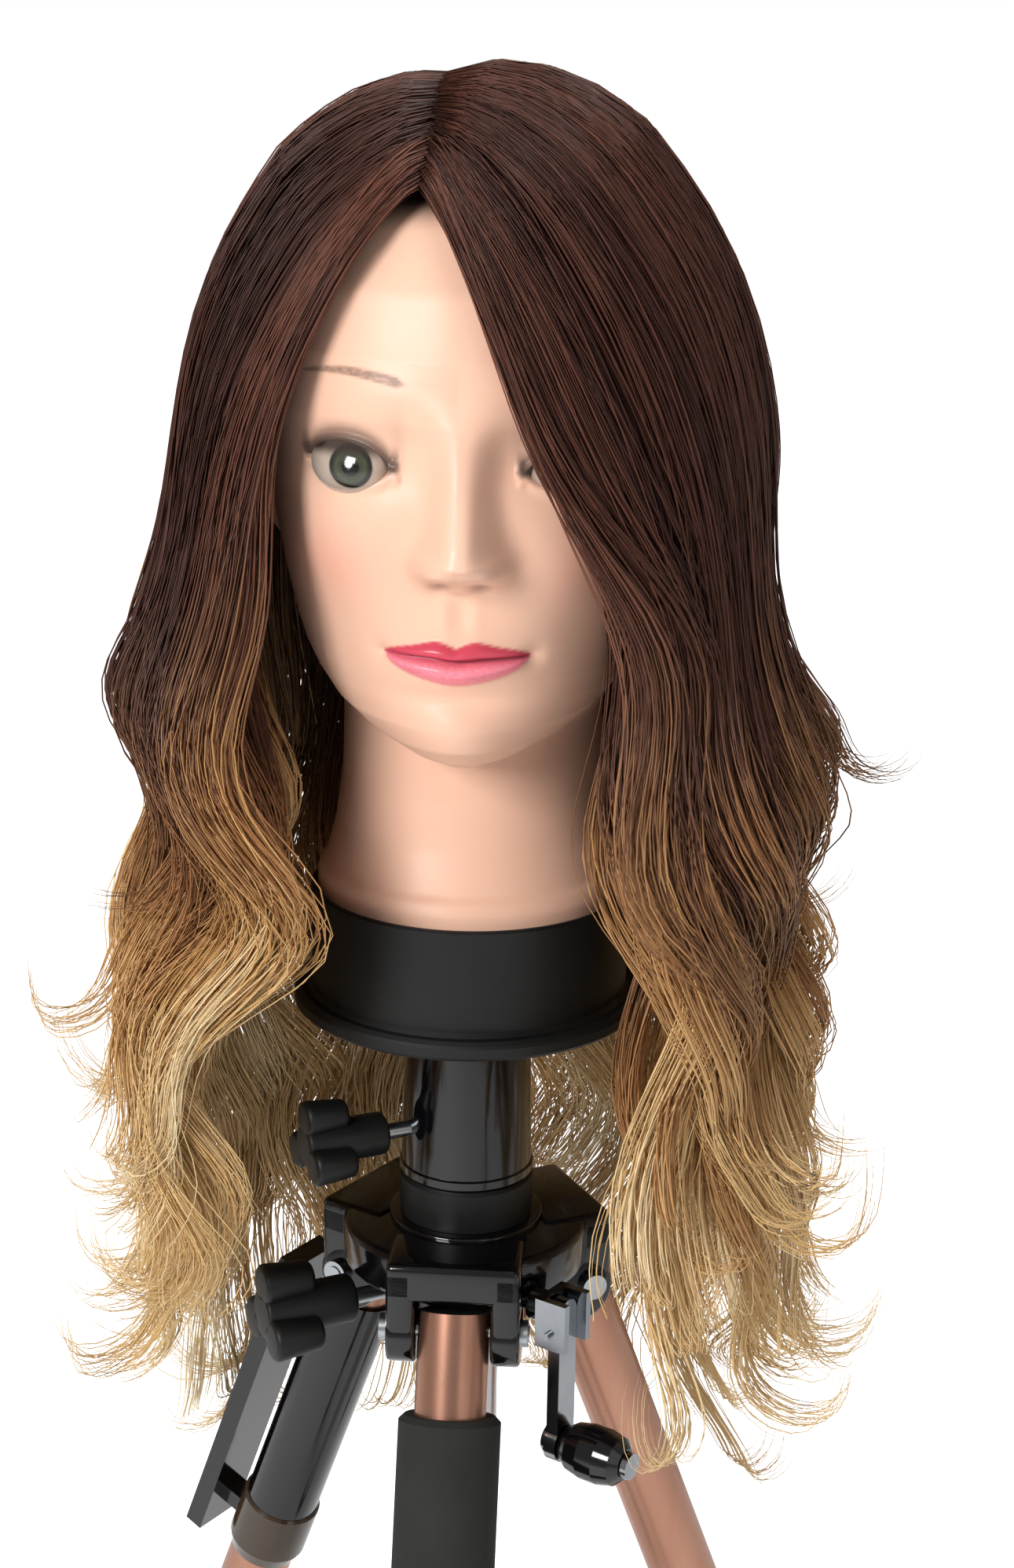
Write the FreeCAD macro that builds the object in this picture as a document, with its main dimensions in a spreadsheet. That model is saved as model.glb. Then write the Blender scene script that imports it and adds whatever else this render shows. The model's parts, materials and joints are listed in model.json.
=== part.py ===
import FreeCAD, Part
import Sketcher
import math
import os

from FreeCAD import Placement, Rotation, Vector

# A hairdressing training head on its tripod. The column axis is vertical, the face looks
# along -Y, and heights below are counted from the floor. Everything is drawn about the
# column axis and moved back by axisBack at the end, so that the origin is the middle of
# the tripod's footprint on the floor.

dimensions = {
    "axisBack": 52.0, "flangeTop": 561.0,
    # neck cup and the sleeve under it
    "cupFlangeRadius": 64.5, "cupFlangeThick": 7.0, "cupWallRadius": 58.0, "cupWall": 1.7,
    "cupHeight": 39.0, "cupFloor": 3.0, "cupScrewCircle": 15.0, "screwRadius": 2.0, "screwLong": 12.0,
    "sleeveTopRadius": 23.0, "sleeveLowRadius": 24.5, "sleeveLip": 25.2, "sleeveLipHigh": 4.0,
    "sleeveLong": 68.0, "sleeveCapThick": 15.0, "runningGap": 0.05,
    # centre column
    "columnRadius": 13.0, "columnBore": 10.9, "columnLong": 348.0, "rackWidth": 6.0, "rackBack": 8.2,
    "toothModule": 1.0, "pinionTeeth": 12.0, "pinionWide": 5.4, "rackLong": 236.0, "rackStart": 74.0,
    "ringRadius": 25.0, "ringHigh": 16.0, "hubTopDrop": 96.0,
    # tripod hub
    "deckRadius": 46.0, "deckThick": 11.2, "barrelRadius": 25.0, "barrelLong": 41.0,
    "blockWide": 48.0, "blockReach": 49.0, "forkGap": 27.2, "hingeRadius": 42.0, "hingeDrop": 122.5,
    "earRadius": 12.0, "boltRadius": 3.0, "boltHead": 5.0, "boltHeadThick": 3.5,
    # legs
    "splay": 21.0, "tubeRadius": 13.3, "tubeWall": 1.2, "tubeAbove": 7.0, "upperLong": 318.0,
    "lowerRadius": 11.0, "lowerStart": 45.0, "lowerEnd": 452.0, "collarRadius": 17.0,
    "collarStart": 290.0, "collarLong": 42.0, "footRadius": 15.0, "footStart": 436.0,
    "foamRadius": 19.0, "foamStart": 31.0, "foamLong": 190.0,
    "sheathWall": 1.6, "sheathStart": 20.0, "sheathLong": 116.0, "sheathEndLong": 29.0,
    "plateWide": 25.0, "plateThick": 8.0, "plateOffset": 28.5, "plateStart": 24.0, "plateLong": 146.0,
    # knobs and crank
    "knobAzimuth": -60.0, "sleeveKnobDrop": 56.0, "lockKnobDrop": 121.0, "knobGrip": 9.0, "knobNeck": 8.0,
    "knobLobe": 6.3, "knobLobeOut": 10.0, "studRadius": 3.0,
    "crankAzimuth": 60.0, "crankDrop": 112.0, "pinionPlay": 0.5, "pinionRoom": 7.4,
    "shaftRadius": 3.0, "crankPlane": 54.0, "crankReach": 53.0,
    "clevisPin": 1.3, "armWide": 11.0, "armThick": 5.0, "gripRadius": 10.5, "gripLong": 26.0, "gripBore": 3.0,
    # head
    "skullHalfWide": 75.0, "skullHalfDeep": 93.0, "skullHalfHigh": 95.0, "skullCentre": 219.0,
    "faceHalfWide": 58.0, "faceHalfDeep": 60.0, "faceHalfHigh": 92.0, "faceCentre": 196.0,
    "faceForward": 26.0, "skin": 4.0, "neckLow": 56.0, "neckTop": 50.0, "neckBase": 3.5,
    "neckLong": 110.0, "plugRadius": 44.0, "plugHigh": 46.0, "spigotRadius": 12.0, "spigotHigh": 40.0,
    # hair masses
    "hairClear": 0.4, "crownHalfWide": 106.0, "crownHalfDeep": 110.0, "crownHalfHigh": 122.0,
    "crownBase": 207.0, "hairSideLow": 60.0, "hairBackLow": 140.0, "hairLowInner": 113.0, "hairLowOuter": 128.0,
    "hairTopInner": 78.0, "hairTopOuter": 105.0, "hairNeckInner": 76.0, "hairMidOuter": 115.0,
    "hairEarOuter": 129.0, "hairSeam": 0.2,
}

doc = FreeCAD.newDocument("training_head")
sheet = doc.addObject("Spreadsheet::Sheet", "sizes")
for row, (word, number) in enumerate(dimensions.items(), start=1):
    sheet.set("A%d" % row, word)
    sheet.set("B%d" % row, str(number))
    sheet.setAlias("B%d" % row, word)
doc.recompute()


class Size:
    """A length that keeps both its number and the sheet formula it comes from."""

    def __init__(self, number, text):
        self.number = number
        self.text = text

    def combine(self, other, sign):
        other = other if isinstance(other, Size) else Size(other, repr(float(other)))
        numbers = {"+": self.number + other.number, "-": self.number - other.number,
                   "*": self.number * other.number}
        return Size(numbers[sign], "(%s %s %s)" % (self.text, sign, other.text))

    def __add__(self, other):
        return self.combine(other, "+")

    def __sub__(self, other):
        return self.combine(other, "-")

    def __mul__(self, other):
        return self.combine(other, "*")


def cell(word):
    return Size(dimensions[word], "sizes." + word)


def bind(thing, prop, size):
    size = size if isinstance(size, Size) else Size(size, repr(float(size)))
    setattr(thing, prop, size.number)
    thing.setExpression(prop, size.text)


def move(thing, x=0.0, y=0.0, z=0.0, turn=None):
    thing.Placement = Placement(Vector(x, y, z), turn or Rotation())
    return thing


def cylinder(name, radius, height, x=0.0, y=0.0, z=0.0, turn=None):
    rod = doc.addObject("Part::Cylinder", name)
    bind(rod, "Radius", radius)
    bind(rod, "Height", height)
    return move(rod, x, y, z, turn)


def block(name, long, wide, high, x=0.0, y=0.0, z=0.0, turn=None):
    box = doc.addObject("Part::Box", name)
    bind(box, "Length", long)
    bind(box, "Width", wide)
    bind(box, "Height", high)
    return move(box, x, y, z, turn)


def ellipsoid(name, halfWide, halfDeep, halfHigh, y, z):
    ball = doc.addObject("Part::Ellipsoid", name)
    bind(ball, "Radius1", halfHigh)
    bind(ball, "Radius2", halfWide)
    bind(ball, "Radius3", halfDeep)
    return move(ball, 0, y, z)


def fuse(name, *pieces):
    joined = doc.addObject("Part::MultiFuse", name)
    joined.Shapes = list(pieces)
    return joined


def cut(name, base, *tools):
    result = base
    for index, tool in enumerate(tools):
        step = doc.addObject("Part::Cut", "%s_cut%d" % (name, index))
        step.Base = result
        step.Tool = tool
        result = step
    return result


def originPlane(body, role):
    return next(item for item in body.Origin.OriginFeatures if item.Role == role)


def drawOutline(sketch, corners):
    """A closed run of lines whose corners sit at sheet-driven places from the origin."""
    count = len(corners)
    for index in range(count):
        start, end = corners[index], corners[(index + 1) % count]
        sketch.addGeometry(Part.LineSegment(Vector(start[0].number, start[1].number, 0),
                                            Vector(end[0].number, end[1].number, 0)), False)
    for index in range(count):
        sketch.addConstraint(Sketcher.Constraint("Coincident", index, 2, (index + 1) % count, 1))
    for index, corner in enumerate(corners):
        for kind, axis, size in (("DistanceX", -2, corner[0]), ("DistanceY", -1, corner[1])):
            if abs(size.number) < 1e-9:
                sketch.addConstraint(Sketcher.Constraint("PointOnObject", index, 1, axis))
                continue
            number = sketch.addConstraint(Sketcher.Constraint(kind, -1, 1, index, 1, size.number))
            sketch.setExpression("Constraints[%d]" % number, size.text)


def turned(name, corners, angle=360.0):
    """A lathe-turned body: corners are (radius, height) pairs, both zero or more."""
    body = doc.addObject("PartDesign::Body", name)
    sketch = body.newObject("Sketcher::SketchObject", name + "_profile")
    sketch.AttachmentSupport = [(originPlane(body, "XZ_Plane"), "")]
    sketch.MapMode = "FlatFace"
    zero = Size(0.0, "0.0")
    drawOutline(sketch, [(r if isinstance(r, Size) else Size(r, repr(float(r))) if r else zero,
                          h if isinstance(h, Size) else Size(h, repr(float(h))) if h else zero)
                         for r, h in corners])
    spin = body.newObject("PartDesign::Revolution", name + "_turn")
    spin.Profile = sketch
    spin.ReferenceAxis = (sketch, ["V_Axis"])
    spin.Angle = angle
    body.Tip = spin
    return body


parts = {}


def keep(name, thing, place=None):
    """Registers a finished sub-part, with the place that carries it into the assembly."""
    if place is not None:
        thing.Placement = place.multiply(thing.Placement)
    thing.Label = name
    parts[name] = thing
    return thing


top = dimensions["flangeTop"]
sideways = Rotation(Vector(0, 1, 0), 90)    # turns a local Z rod to lie along X


def radialPlace(azimuth, drop, aside=0.0):
    """Local +Z points outward from the column at this azimuth, 0 being the front."""
    outward = Rotation(Vector(0, 0, 1), azimuth).multiply(Rotation(Vector(1, 0, 0), 90))
    offset = Rotation(Vector(0, 0, 1), azimuth).multVec(Vector(aside, 0, 0))
    return Placement(Vector(offset.x, offset.y, top - drop), outward)


# ---- head: a hollow moulded shell with a hard plug in its neck ----
def headSolid(name, grow):
    skull = ellipsoid(name + "_skull", cell("skullHalfWide") + grow, cell("skullHalfDeep") + grow,
                      cell("skullHalfHigh") + grow, 2, top + dimensions["skullCentre"])
    face = ellipsoid(name + "_face", cell("faceHalfWide") + grow, cell("faceHalfDeep") + grow,
                     cell("faceHalfHigh") + grow, -dimensions["faceForward"],
                     top + dimensions["faceCentre"])
    neck = turned(name + "_neck", [(0, 0), (cell("neckLow") + grow, 0),
                                   (cell("neckLow") + grow, 32), (cell("neckTop") + grow, 62),
                                   (cell("neckTop") + grow, cell("neckLong")), (0, cell("neckLong"))])
    move(neck, 0, 0, top + dimensions["neckBase"])
    return [skull, face, neck]


nose = ellipsoid("nose", cell("skin") * 2.8, cell("skin") * 3.6, cell("skin") * 5.2,
                 -dimensions["faceForward"] - dimensions["faceHalfDeep"] - 4, top + 166)
hollow = fuse("head_hollow", *headSolid("head_inner", cell("skin") * -1.0))
neckMouth = cylinder("neck_mouth", cell("plugRadius"), cell("plugHigh") + 14,
                     z=top + dimensions["neckBase"] - 1)
keep("head_shell", cut("head_shell", fuse("head_outer", *headSolid("head_outer", 0.0), nose),
                       fuse("head_core", hollow, neckMouth)))
plug = cylinder("plug_blank", cell("plugRadius"), cell("plugHigh"), z=top + dimensions["neckBase"])
plugBore = cylinder("plug_bore", cell("spigotRadius") + cell("runningGap"), cell("plugHigh") + 2,
                    z=top + dimensions["neckBase"] - 1)
keep("neck_plug", cut("neck_plug", plug, plugBore))


# ---- hair: a cap over the skull and three hanging masses round the sides and back ----
def headCutter(name):
    return fuse(name, *headSolid(name, cell("hairClear")))


crownBall = ellipsoid("crown_ball", cell("crownHalfWide"), cell("crownHalfDeep"),
                      cell("crownHalfHigh"), 4, top + dimensions["crownBase"])
belowCrown = block("below_crown", 300, 300, 200, -150, -150, top + dimensions["crownBase"] - 200)
faceWindow = block("face_window", 84, 90, 64, -42, -150, top + dimensions["crownBase"] - 1)
keep("hair_crown", cut("hair_crown", crownBall, belowCrown, faceWindow, headCutter("crown_cutter")))



def hairProfile(low):
    """Half section of a hanging mass whose lower edge is 'low' under the cup's flange."""
    joinHeight = low + cell("crownBase") - cell("hairSeam")
    return [(cell("hairLowInner"), 0), (cell("hairLowOuter"), 0), (cell("hairEarOuter"), low),
            (cell("hairMidOuter"), low + 100), (cell("hairTopOuter"), joinHeight),
            (cell("hairTopInner"), joinHeight), (cell("hairNeckInner"), low + 100),
            (cell("hairNeckInner"), low - 10), (cell("hairLowInner"), low - 46)]


# The angle is counted from the face, towards +X, to the first edge of each mass. The side
# masses end above the crank's circle, so that the head can turn with the crank in any place.
for name, low, first, sweep in (("hair_left_drape", "hairSideLow", 245, 70),
                                ("hair_back_drape", "hairBackLow", 115.2, 129.6),
                                ("hair_right_drape", "hairSideLow", 45, 70)):
    curtain = turned(name + "_blank", hairProfile(cell(low)), sweep)
    move(curtain, 0, 0, top - dimensions[low], Rotation(Vector(0, 0, 1), first - 90))
    keep(name, cut(name, curtain, headCutter(name + "_cutter")))

# ---- neck cup ----
cupFlange = cell("cupFlangeThick")
cupWall = cell("cupWallRadius")
cup = turned("holder_cup", [
    (0, 0), (cell("cupFlangeRadius") - 1.5, 0), (cell("cupFlangeRadius"), 1.5),
    (cell("cupFlangeRadius"), cupFlange - 2.2), (cell("cupFlangeRadius") - 0.8, cupFlange - 1.2),
    (cell("cupFlangeRadius") - 2.2, cupFlange), (cupWall + 1.6, cupFlange), (cupWall, cupFlange + 1.6),
    (cupWall, cupFlange + cell("cupHeight") - 0.8), (cupWall - 0.8, cupFlange + cell("cupHeight")),
    (cupWall - cell("cupWall"), cupFlange + cell("cupHeight")),
    (cupWall - cell("cupWall"), cupFlange + cell("cupFloor")),
    (cell("spigotRadius"), cupFlange + cell("cupFloor")),
    (cell("spigotRadius"), cupFlange + cell("spigotHigh")), (0, cupFlange + cell("spigotHigh"))])
move(cup, 0, 0, top - dimensions["cupFlangeThick"])
screwPlaces = []
for screwAngle in (60, 180, 300):
    screwPlaces.append((dimensions["cupScrewCircle"] * math.cos(math.radians(screwAngle)),
                        dimensions["cupScrewCircle"] * math.sin(math.radians(screwAngle))))
screwHoles = []
screws = []
for index, (x, y) in enumerate(screwPlaces):
    low = top - dimensions["cupFlangeThick"] - dimensions["screwLong"]
    shank = cell("screwLong") + cell("cupFlangeThick") + cell("cupFloor")
    screwHoles.append(cylinder("cup_hole%d" % index, cell("screwRadius"), shank + 2, x, y, low))
    screws.append(cylinder("cup_screw%d" % index, cell("screwRadius"), shank, x, y, low))
keep("holder_cup", cut("holder_cup", cup, fuse("cup_holes", *screwHoles)))
keep("cup_screws", fuse("cup_screws", *screws))

# ---- adaptor sleeve, clamped on the column by its knob ----
sleeveLong = cell("sleeveLong")
bore = cell("columnRadius") + cell("runningGap")
sleeve = turned("adaptor_sleeve", [
    (bore, 0), (cell("sleeveLip") - 0.6, 0), (cell("sleeveLip"), 0.6),
    (cell("sleeveLip"), cell("sleeveLipHigh") - 0.6), (cell("sleeveLip") - 0.6, cell("sleeveLipHigh")),
    (cell("sleeveLowRadius"), cell("sleeveLipHigh")), (cell("sleeveTopRadius"), sleeveLong),
    (0, sleeveLong), (0, sleeveLong - cell("sleeveCapThick")), (bore, sleeveLong - cell("sleeveCapThick"))])
move(sleeve, 0, 0, top - dimensions["cupFlangeThick"] - dimensions["sleeveLong"])
knobHole = cylinder("sleeve_knob_hole", cell("studRadius") + cell("runningGap"), 40)
knobHole.Placement = radialPlace(dimensions["knobAzimuth"], dimensions["sleeveKnobDrop"])
screwSockets = []
for index, (x, y) in enumerate(screwPlaces):
    screwSockets.append(cylinder("sleeve_socket%d" % index, cell("screwRadius"), 40, x, y,
                                 top - dimensions["cupFlangeThick"] - dimensions["screwLong"]))
keep("adaptor_sleeve", cut("adaptor_sleeve", sleeve, knobHole, fuse("sleeve_sockets", *screwSockets)))


# ---- wing knobs: a moulded neck, three lobes and a steel stud ----
def wingKnob(name, neckStart, neckLong, lobeLong, grow, place):
    """Makes a knob and returns how far out its stud reaches into it."""
    neck = cylinder(name + "_neck", cell("knobNeck") * grow, neckLong + lobeLong, z=neckStart)
    lobes = []
    for index in range(3):
        angle = math.radians(120 * index + 90)
        out = dimensions["knobLobeOut"] * grow
        lobes.append(cylinder("%s_lobe%d" % (name, index), cell("knobLobe") * grow, lobeLong,
                              out * math.cos(angle), out * math.sin(angle), neckStart + neckLong))
    socket = cylinder(name + "_socket", cell("studRadius"), 10, z=neckStart - 1)
    keep(name, cut(name, fuse(name + "_blank", neck, *lobes), socket), place)
    return neckStart + dimensions["knobGrip"]


columnFace = dimensions["columnRadius"] + 0.4
sleevePlace = radialPlace(dimensions["knobAzimuth"], dimensions["sleeveKnobDrop"])
studEnd = wingKnob("sleeve_knob", 34.0, 15.0, 20.0, 1.0, sleevePlace)
keep("sleeve_knob_screw", cylinder("sleeve_knob_screw", cell("studRadius"), studEnd - columnFace,
                                   z=columnFace), sleevePlace)
lockPlace = radialPlace(dimensions["knobAzimuth"], dimensions["lockKnobDrop"])
studEnd = wingKnob("lock_knob", 47.0, 16.0, 25.0, 1.15, lockPlace)
keep("lock_screw", cylinder("lock_screw", cell("studRadius"), studEnd - columnFace, z=columnFace), lockPlace)

# ---- centre column with its rack ----
columnTop = top - 24
tube = turned("column_tube", [
    (cell("columnBore"), 0), (cell("columnRadius"), 0), (cell("columnRadius"), cell("columnLong") - 1),
    (cell("columnRadius") - 1, cell("columnLong")), (cell("columnBore"), cell("columnLong"))])
move(tube, 0, 0, columnTop - dimensions["columnLong"])
rackTop = columnTop - dimensions["rackStart"]
pinionAside = -(dimensions["columnRadius"] - 1.4 + dimensions["toothModule"] * dimensions["pinionTeeth"] / 2)
slotTurn = Rotation(Vector(0, 0, 1), dimensions["crankAzimuth"])
rackSlot = block("rack_slot", 12, cell("rackWidth"), cell("rackLong"))
slotCorner = slotTurn.multVec(Vector(-dimensions["rackBack"] - 12, -dimensions["rackWidth"] / 2, 0))
move(rackSlot, slotCorner.x, slotCorner.y, rackTop - dimensions["rackLong"], slotTurn)
keep("column_tube", cut("column_tube", tube, rackSlot))


def rackShape():
    """Straight-sided rack teeth: x runs outward from the column, z along it."""
    module = dimensions["toothModule"]
    pitch = math.pi * module
    pitchLine = dimensions["columnRadius"] - 1.4
    tip, root = pitchLine + 0.8 * module, pitchLine - 1.2 * module
    points = [Vector(dimensions["rackBack"], 0, 0)]
    count = int(dimensions["rackLong"] / pitch)
    for index in range(count):
        middle = (index + 0.5) * pitch
        for height, out in ((-0.26, root), (-0.09, tip), (0.09, tip), (0.26, root)):
            points.append(Vector(out, 0, middle + height * pitch))
    points.insert(1, Vector(root, 0, 0))
    points.append(Vector(root, 0, dimensions["rackLong"]))
    points.append(Vector(dimensions["rackBack"], 0, dimensions["rackLong"]))
    face = Part.Face(Part.makePolygon(points + [points[0]]))
    solid = face.extrude(Vector(0, dimensions["rackWidth"], 0))
    solid.translate(Vector(0, -dimensions["rackWidth"] / 2, 0))
    return solid, pitch


def pinionShape(phase):
    """Tapered teeth about local Z, thin enough to run free in the rack."""
    module = dimensions["toothModule"]
    teeth = int(dimensions["pinionTeeth"])
    pitchRadius = module * teeth / 2
    points = []
    for index in range(teeth):
        middle = phase + 2 * math.pi * index / teeth
        for share, radius in ((-0.27, pitchRadius - 1.15 * module), (-0.20, pitchRadius),
                              (-0.07, pitchRadius + 0.8 * module), (0.07, pitchRadius + 0.8 * module),
                              (0.20, pitchRadius), (0.27, pitchRadius - 1.15 * module)):
            angle = middle + share * 2 * math.pi / teeth
            points.append(Vector(radius * math.cos(angle), radius * math.sin(angle), 0))
    face = Part.Face(Part.makePolygon(points + [points[0]]))
    solid = face.extrude(Vector(0, 0, dimensions["pinionWide"]))
    hole = Part.makeCylinder(dimensions["shaftRadius"], dimensions["pinionWide"] + 2, Vector(0, 0, -1))
    return solid.cut(hole)


rackSolid, toothPitch = rackShape()
rack = doc.addObject("Part::Feature", "column_rack")
rack.Shape = rackSolid
keep("column_rack", rack, Placement(Vector(0, 0, rackTop - dimensions["rackLong"]),
                                    Rotation(Vector(0, 0, 1), 240)))
# The pinion turns about the level shaft; a gap of the pinion faces the rack tooth at shaft height.
crankHeight = top - dimensions["crankDrop"]
alongRack = (crankHeight - (rackTop - dimensions["rackLong"])) / toothPitch
toothShift = (alongRack - math.floor(alongRack) - 0.5) * toothPitch
pinionRadius = dimensions["toothModule"] * dimensions["pinionTeeth"] / 2
shaftPlace = radialPlace(dimensions["crankAzimuth"], dimensions["crankDrop"], pinionAside)
pinion = doc.addObject("Part::Feature", "pinion")
pinion.Shape = pinionShape(math.pi / dimensions["pinionTeeth"] - toothShift / pinionRadius)
keep("pinion", pinion, shaftPlace.multiply(
    Placement(Vector(0, 0, -dimensions["pinionWide"] / 2), Rotation())))

cap = turned("column_end_cap", [(0, 0), (cell("columnRadius") + 1, 0), (cell("columnRadius") + 2.5, 1.5),
                                (cell("columnRadius") + 2.5, 9), (0, 9)])
move(cap, 0, 0, columnTop - dimensions["columnLong"] - 9)
hookHole = cylinder("hook_hole", 2.0, 6, z=columnTop - dimensions["columnLong"] - 10)
keep("column_end_cap", cut("column_end_cap", cap, hookHole))
hookEye = columnTop - dimensions["columnLong"] - 26
ring = doc.addObject("Part::Torus", "hook_ring")
bind(ring, "Radius1", 8.0)
bind(ring, "Radius2", 2.0)
move(ring, 0, 0, hookEye, Rotation(Vector(1, 0, 0), 90))
gapBlock = block("hook_gap", 20, 8, 7, 3, -4, hookEye)
hookStem = cylinder("hook_stem", 2.0, 14.5, z=hookEye + 7.5)
keep("weight_hook", fuse("weight_hook", cut("hook_ring", ring, gapBlock), hookStem))

# ---- hub: ring, deck, barrel and three forks ----
ringBody = turned("column_ring", [
    (bore, 0), (cell("ringRadius"), 0), (cell("ringRadius"), cell("ringHigh") - 1.2),
    (cell("ringRadius") - 1.2, cell("ringHigh")), (bore, cell("ringHigh"))])
keep("column_ring", move(ringBody, 0, 0, top - dimensions["hubTopDrop"] + 4))
deck = turned("hub_deck", [
    (0, 0), (cell("deckRadius"), 0), (cell("deckRadius"), cell("deckThick") - 3.5),
    (cell("deckRadius") - 1.2, cell("deckThick") - 1.2), (cell("deckRadius") - 4, cell("deckThick")),
    (29, cell("deckThick")), (26, cell("deckThick") + 4), (0, cell("deckThick") + 4)])
deckLow = top - dimensions["hubTopDrop"] - dimensions["deckThick"]
move(deck, 0, 0, deckLow)
barrel = cylinder("hub_barrel", cell("barrelRadius"), cell("barrelLong"),
                  z=top - dimensions["hubTopDrop"] - dimensions["barrelLong"] + 2)
hubSolids = [deck, barrel]
hubCuts = [cylinder("hub_bore", bore, 80, z=top - 160)]
hingeHeight = top - dimensions["hingeDrop"]
legAngles = {"front": 0, "right": 120, "left": -120}
bolts = []
for side, azimuth in legAngles.items():
    turn = Rotation(Vector(0, 0, 1), azimuth)
    wide = dimensions["blockWide"] / 2
    earTop = deckLow + dimensions["deckThick"] - 1.5
    corner = turn.multVec(Vector(-wide, -dimensions["blockReach"], 0))
    hubSolids.append(block("fork_%s" % side, cell("blockWide"), cell("blockReach"),
                           earTop - hingeHeight, corner.x, corner.y, hingeHeight, turn))
    hinge = turn.multVec(Vector(-wide, -dimensions["hingeRadius"] + 4.9, 0))
    hubSolids.append(cylinder("ear_%s" % side, cell("earRadius"), cell("blockWide"), hinge.x, hinge.y,
                              hingeHeight, turn.multiply(sideways)))
    gapCorner = turn.multVec(Vector(-dimensions["forkGap"] / 2, -90, 0))
    hubCuts.append(block("gap_%s" % side, cell("forkGap"), 90 - 25.5, 60, gapCorner.x, gapCorner.y,
                         deckLow - 60, turn))
    ends = turn.multVec(Vector(-40, -dimensions["hingeRadius"], 0))
    hubCuts.append(cylinder("bolt_hole_%s" % side, cell("boltRadius"), 80, ends.x, ends.y, hingeHeight,
                            turn.multiply(sideways)))
    headOut = wide + dimensions["boltHeadThick"]
    start = turn.multVec(Vector(-headOut, -dimensions["hingeRadius"], 0))
    bolts.append(cylinder("bolt_%s" % side, cell("boltRadius"), cell("blockWide") + cell("boltHeadThick") + 4,
                          start.x, start.y, hingeHeight, turn.multiply(sideways)))
    for offset, name in ((-headOut, "head"), (wide, "nut")):
        place = turn.multVec(Vector(offset, -dimensions["hingeRadius"], 0))
        bolts.append(cylinder("bolt_%s_%s" % (name, side), cell("boltHead"), cell("boltHeadThick"),
                              place.x, place.y, hingeHeight, turn.multiply(sideways)))
shaftHole = cylinder("shaft_hole", cell("shaftRadius") + cell("runningGap"), 80, z=-9)
shaftHole.Placement = shaftPlace.multiply(Placement(Vector(0, 0, -9), Rotation()))
pinionRoom = cylinder("pinion_room", cell("pinionRoom"),
                      cell("pinionWide") + cell("pinionPlay") + cell("pinionPlay"))
roomStart = -dimensions["pinionWide"] / 2 - dimensions["pinionPlay"]
pinionRoom.Placement = shaftPlace.multiply(Placement(Vector(0, 0, roomStart), Rotation()))
lockHole = cylinder("lock_hole", cell("studRadius") + cell("runningGap"), 60)
lockHole.Placement = lockPlace
hubCuts += [shaftHole, pinionRoom, lockHole]
keep("hub_body", cut("hub_body", fuse("hub_blank", *hubSolids), fuse("hub_cutters", *hubCuts)))
keep("leg_bolts", fuse("leg_bolts", *bolts))

# ---- crank: shaft, clevis, flat arm and a barrel grip that spins on its pin ----
plane = cell("crankPlane")
keep("crank_shaft", cylinder("crank_shaft", cell("shaftRadius"), plane + 4, z=-6), shaftPlace)
boss = cylinder("crank_boss", 6.0, 8, z=dimensions["crankPlane"] - 10)
bossBore = cylinder("crank_boss_bore", cell("shaftRadius"), 30, z=dimensions["crankPlane"] - 20)
clevisSolids = [boss, block("crank_web", 17.2, 19, 3, -8.6, -12, dimensions["crankPlane"] - 4)]
for index, start in enumerate((-8.6, 5.6)):
    clevisSolids.append(block("crank_cheek%d" % index, 3, 19, 13, start, -12, dimensions["crankPlane"] - 4))
cheekHole = cylinder("cheek_hole", cell("clevisPin"), 40)
cheekHole.Placement = Placement(Vector(-20, -6, dimensions["crankPlane"] + 2), sideways)
keep("crank_clevis", cut("crank_clevis", fuse("clevis_blank", *clevisSolids), bossBore, cheekHole),
     shaftPlace)
pinPlace = shaftPlace.multiply(Placement(Vector(-10.6, -6, dimensions["crankPlane"] + 2), sideways))
keep("clevis_pin", cylinder("clevis_pin", cell("clevisPin"), 21.2), pinPlace)
armEye = cylinder("arm_eye", 5.5, cell("armThick"), z=dimensions["crankPlane"])
armRoot = block("arm_root", cell("armWide"), cell("crankReach"), cell("armThick"),
                -dimensions["armWide"] / 2, -dimensions["crankReach"], dimensions["crankPlane"])
armEnd = cylinder("arm_end", 7.5, cell("armThick"), 0, -dimensions["crankReach"], dimensions["crankPlane"])
pinHole = cylinder("arm_pin_hole", cell("clevisPin"), 40, z=0)
pinHole.Placement = Placement(Vector(-20, -6, dimensions["crankPlane"] + 2), sideways)
gripHole = cylinder("arm_grip_hole", cell("gripBore"), 20, 0, -dimensions["crankReach"],
                    dimensions["crankPlane"] - 5)
keep("crank_arm", cut("crank_arm", fuse("arm_blank", armEye, armRoot, armEnd), pinHole, gripHole),
     shaftPlace)
gripProfile = [(cell("gripBore") + cell("runningGap"), 0), (6.5, 0), (9.2, 4), (cell("gripRadius"), 10),
               (cell("gripRadius"), 17), (9.0, 23), (6.0, cell("gripLong")),
               (cell("gripBore") + cell("runningGap"), cell("gripLong"))]
gripPlace = shaftPlace.multiply(Placement(
    Vector(0, -dimensions["crankReach"], dimensions["crankPlane"] + dimensions["armThick"] + 0.5), Rotation()))
keep("crank_grip", turned("crank_grip", gripProfile), gripPlace)
pinRod = cylinder("grip_rod", cell("gripBore"), cell("gripLong") + 8, z=-7)
pinCap = cylinder("grip_cap", 5.0, 2.5, z=dimensions["gripLong"] + 0.3)
pinBack = cylinder("grip_back", 5.5, 2.5, z=-dimensions["armThick"] - 3.0)
keep("grip_pin", fuse("grip_pin", pinRod, pinCap, pinBack), gripPlace)


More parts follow.
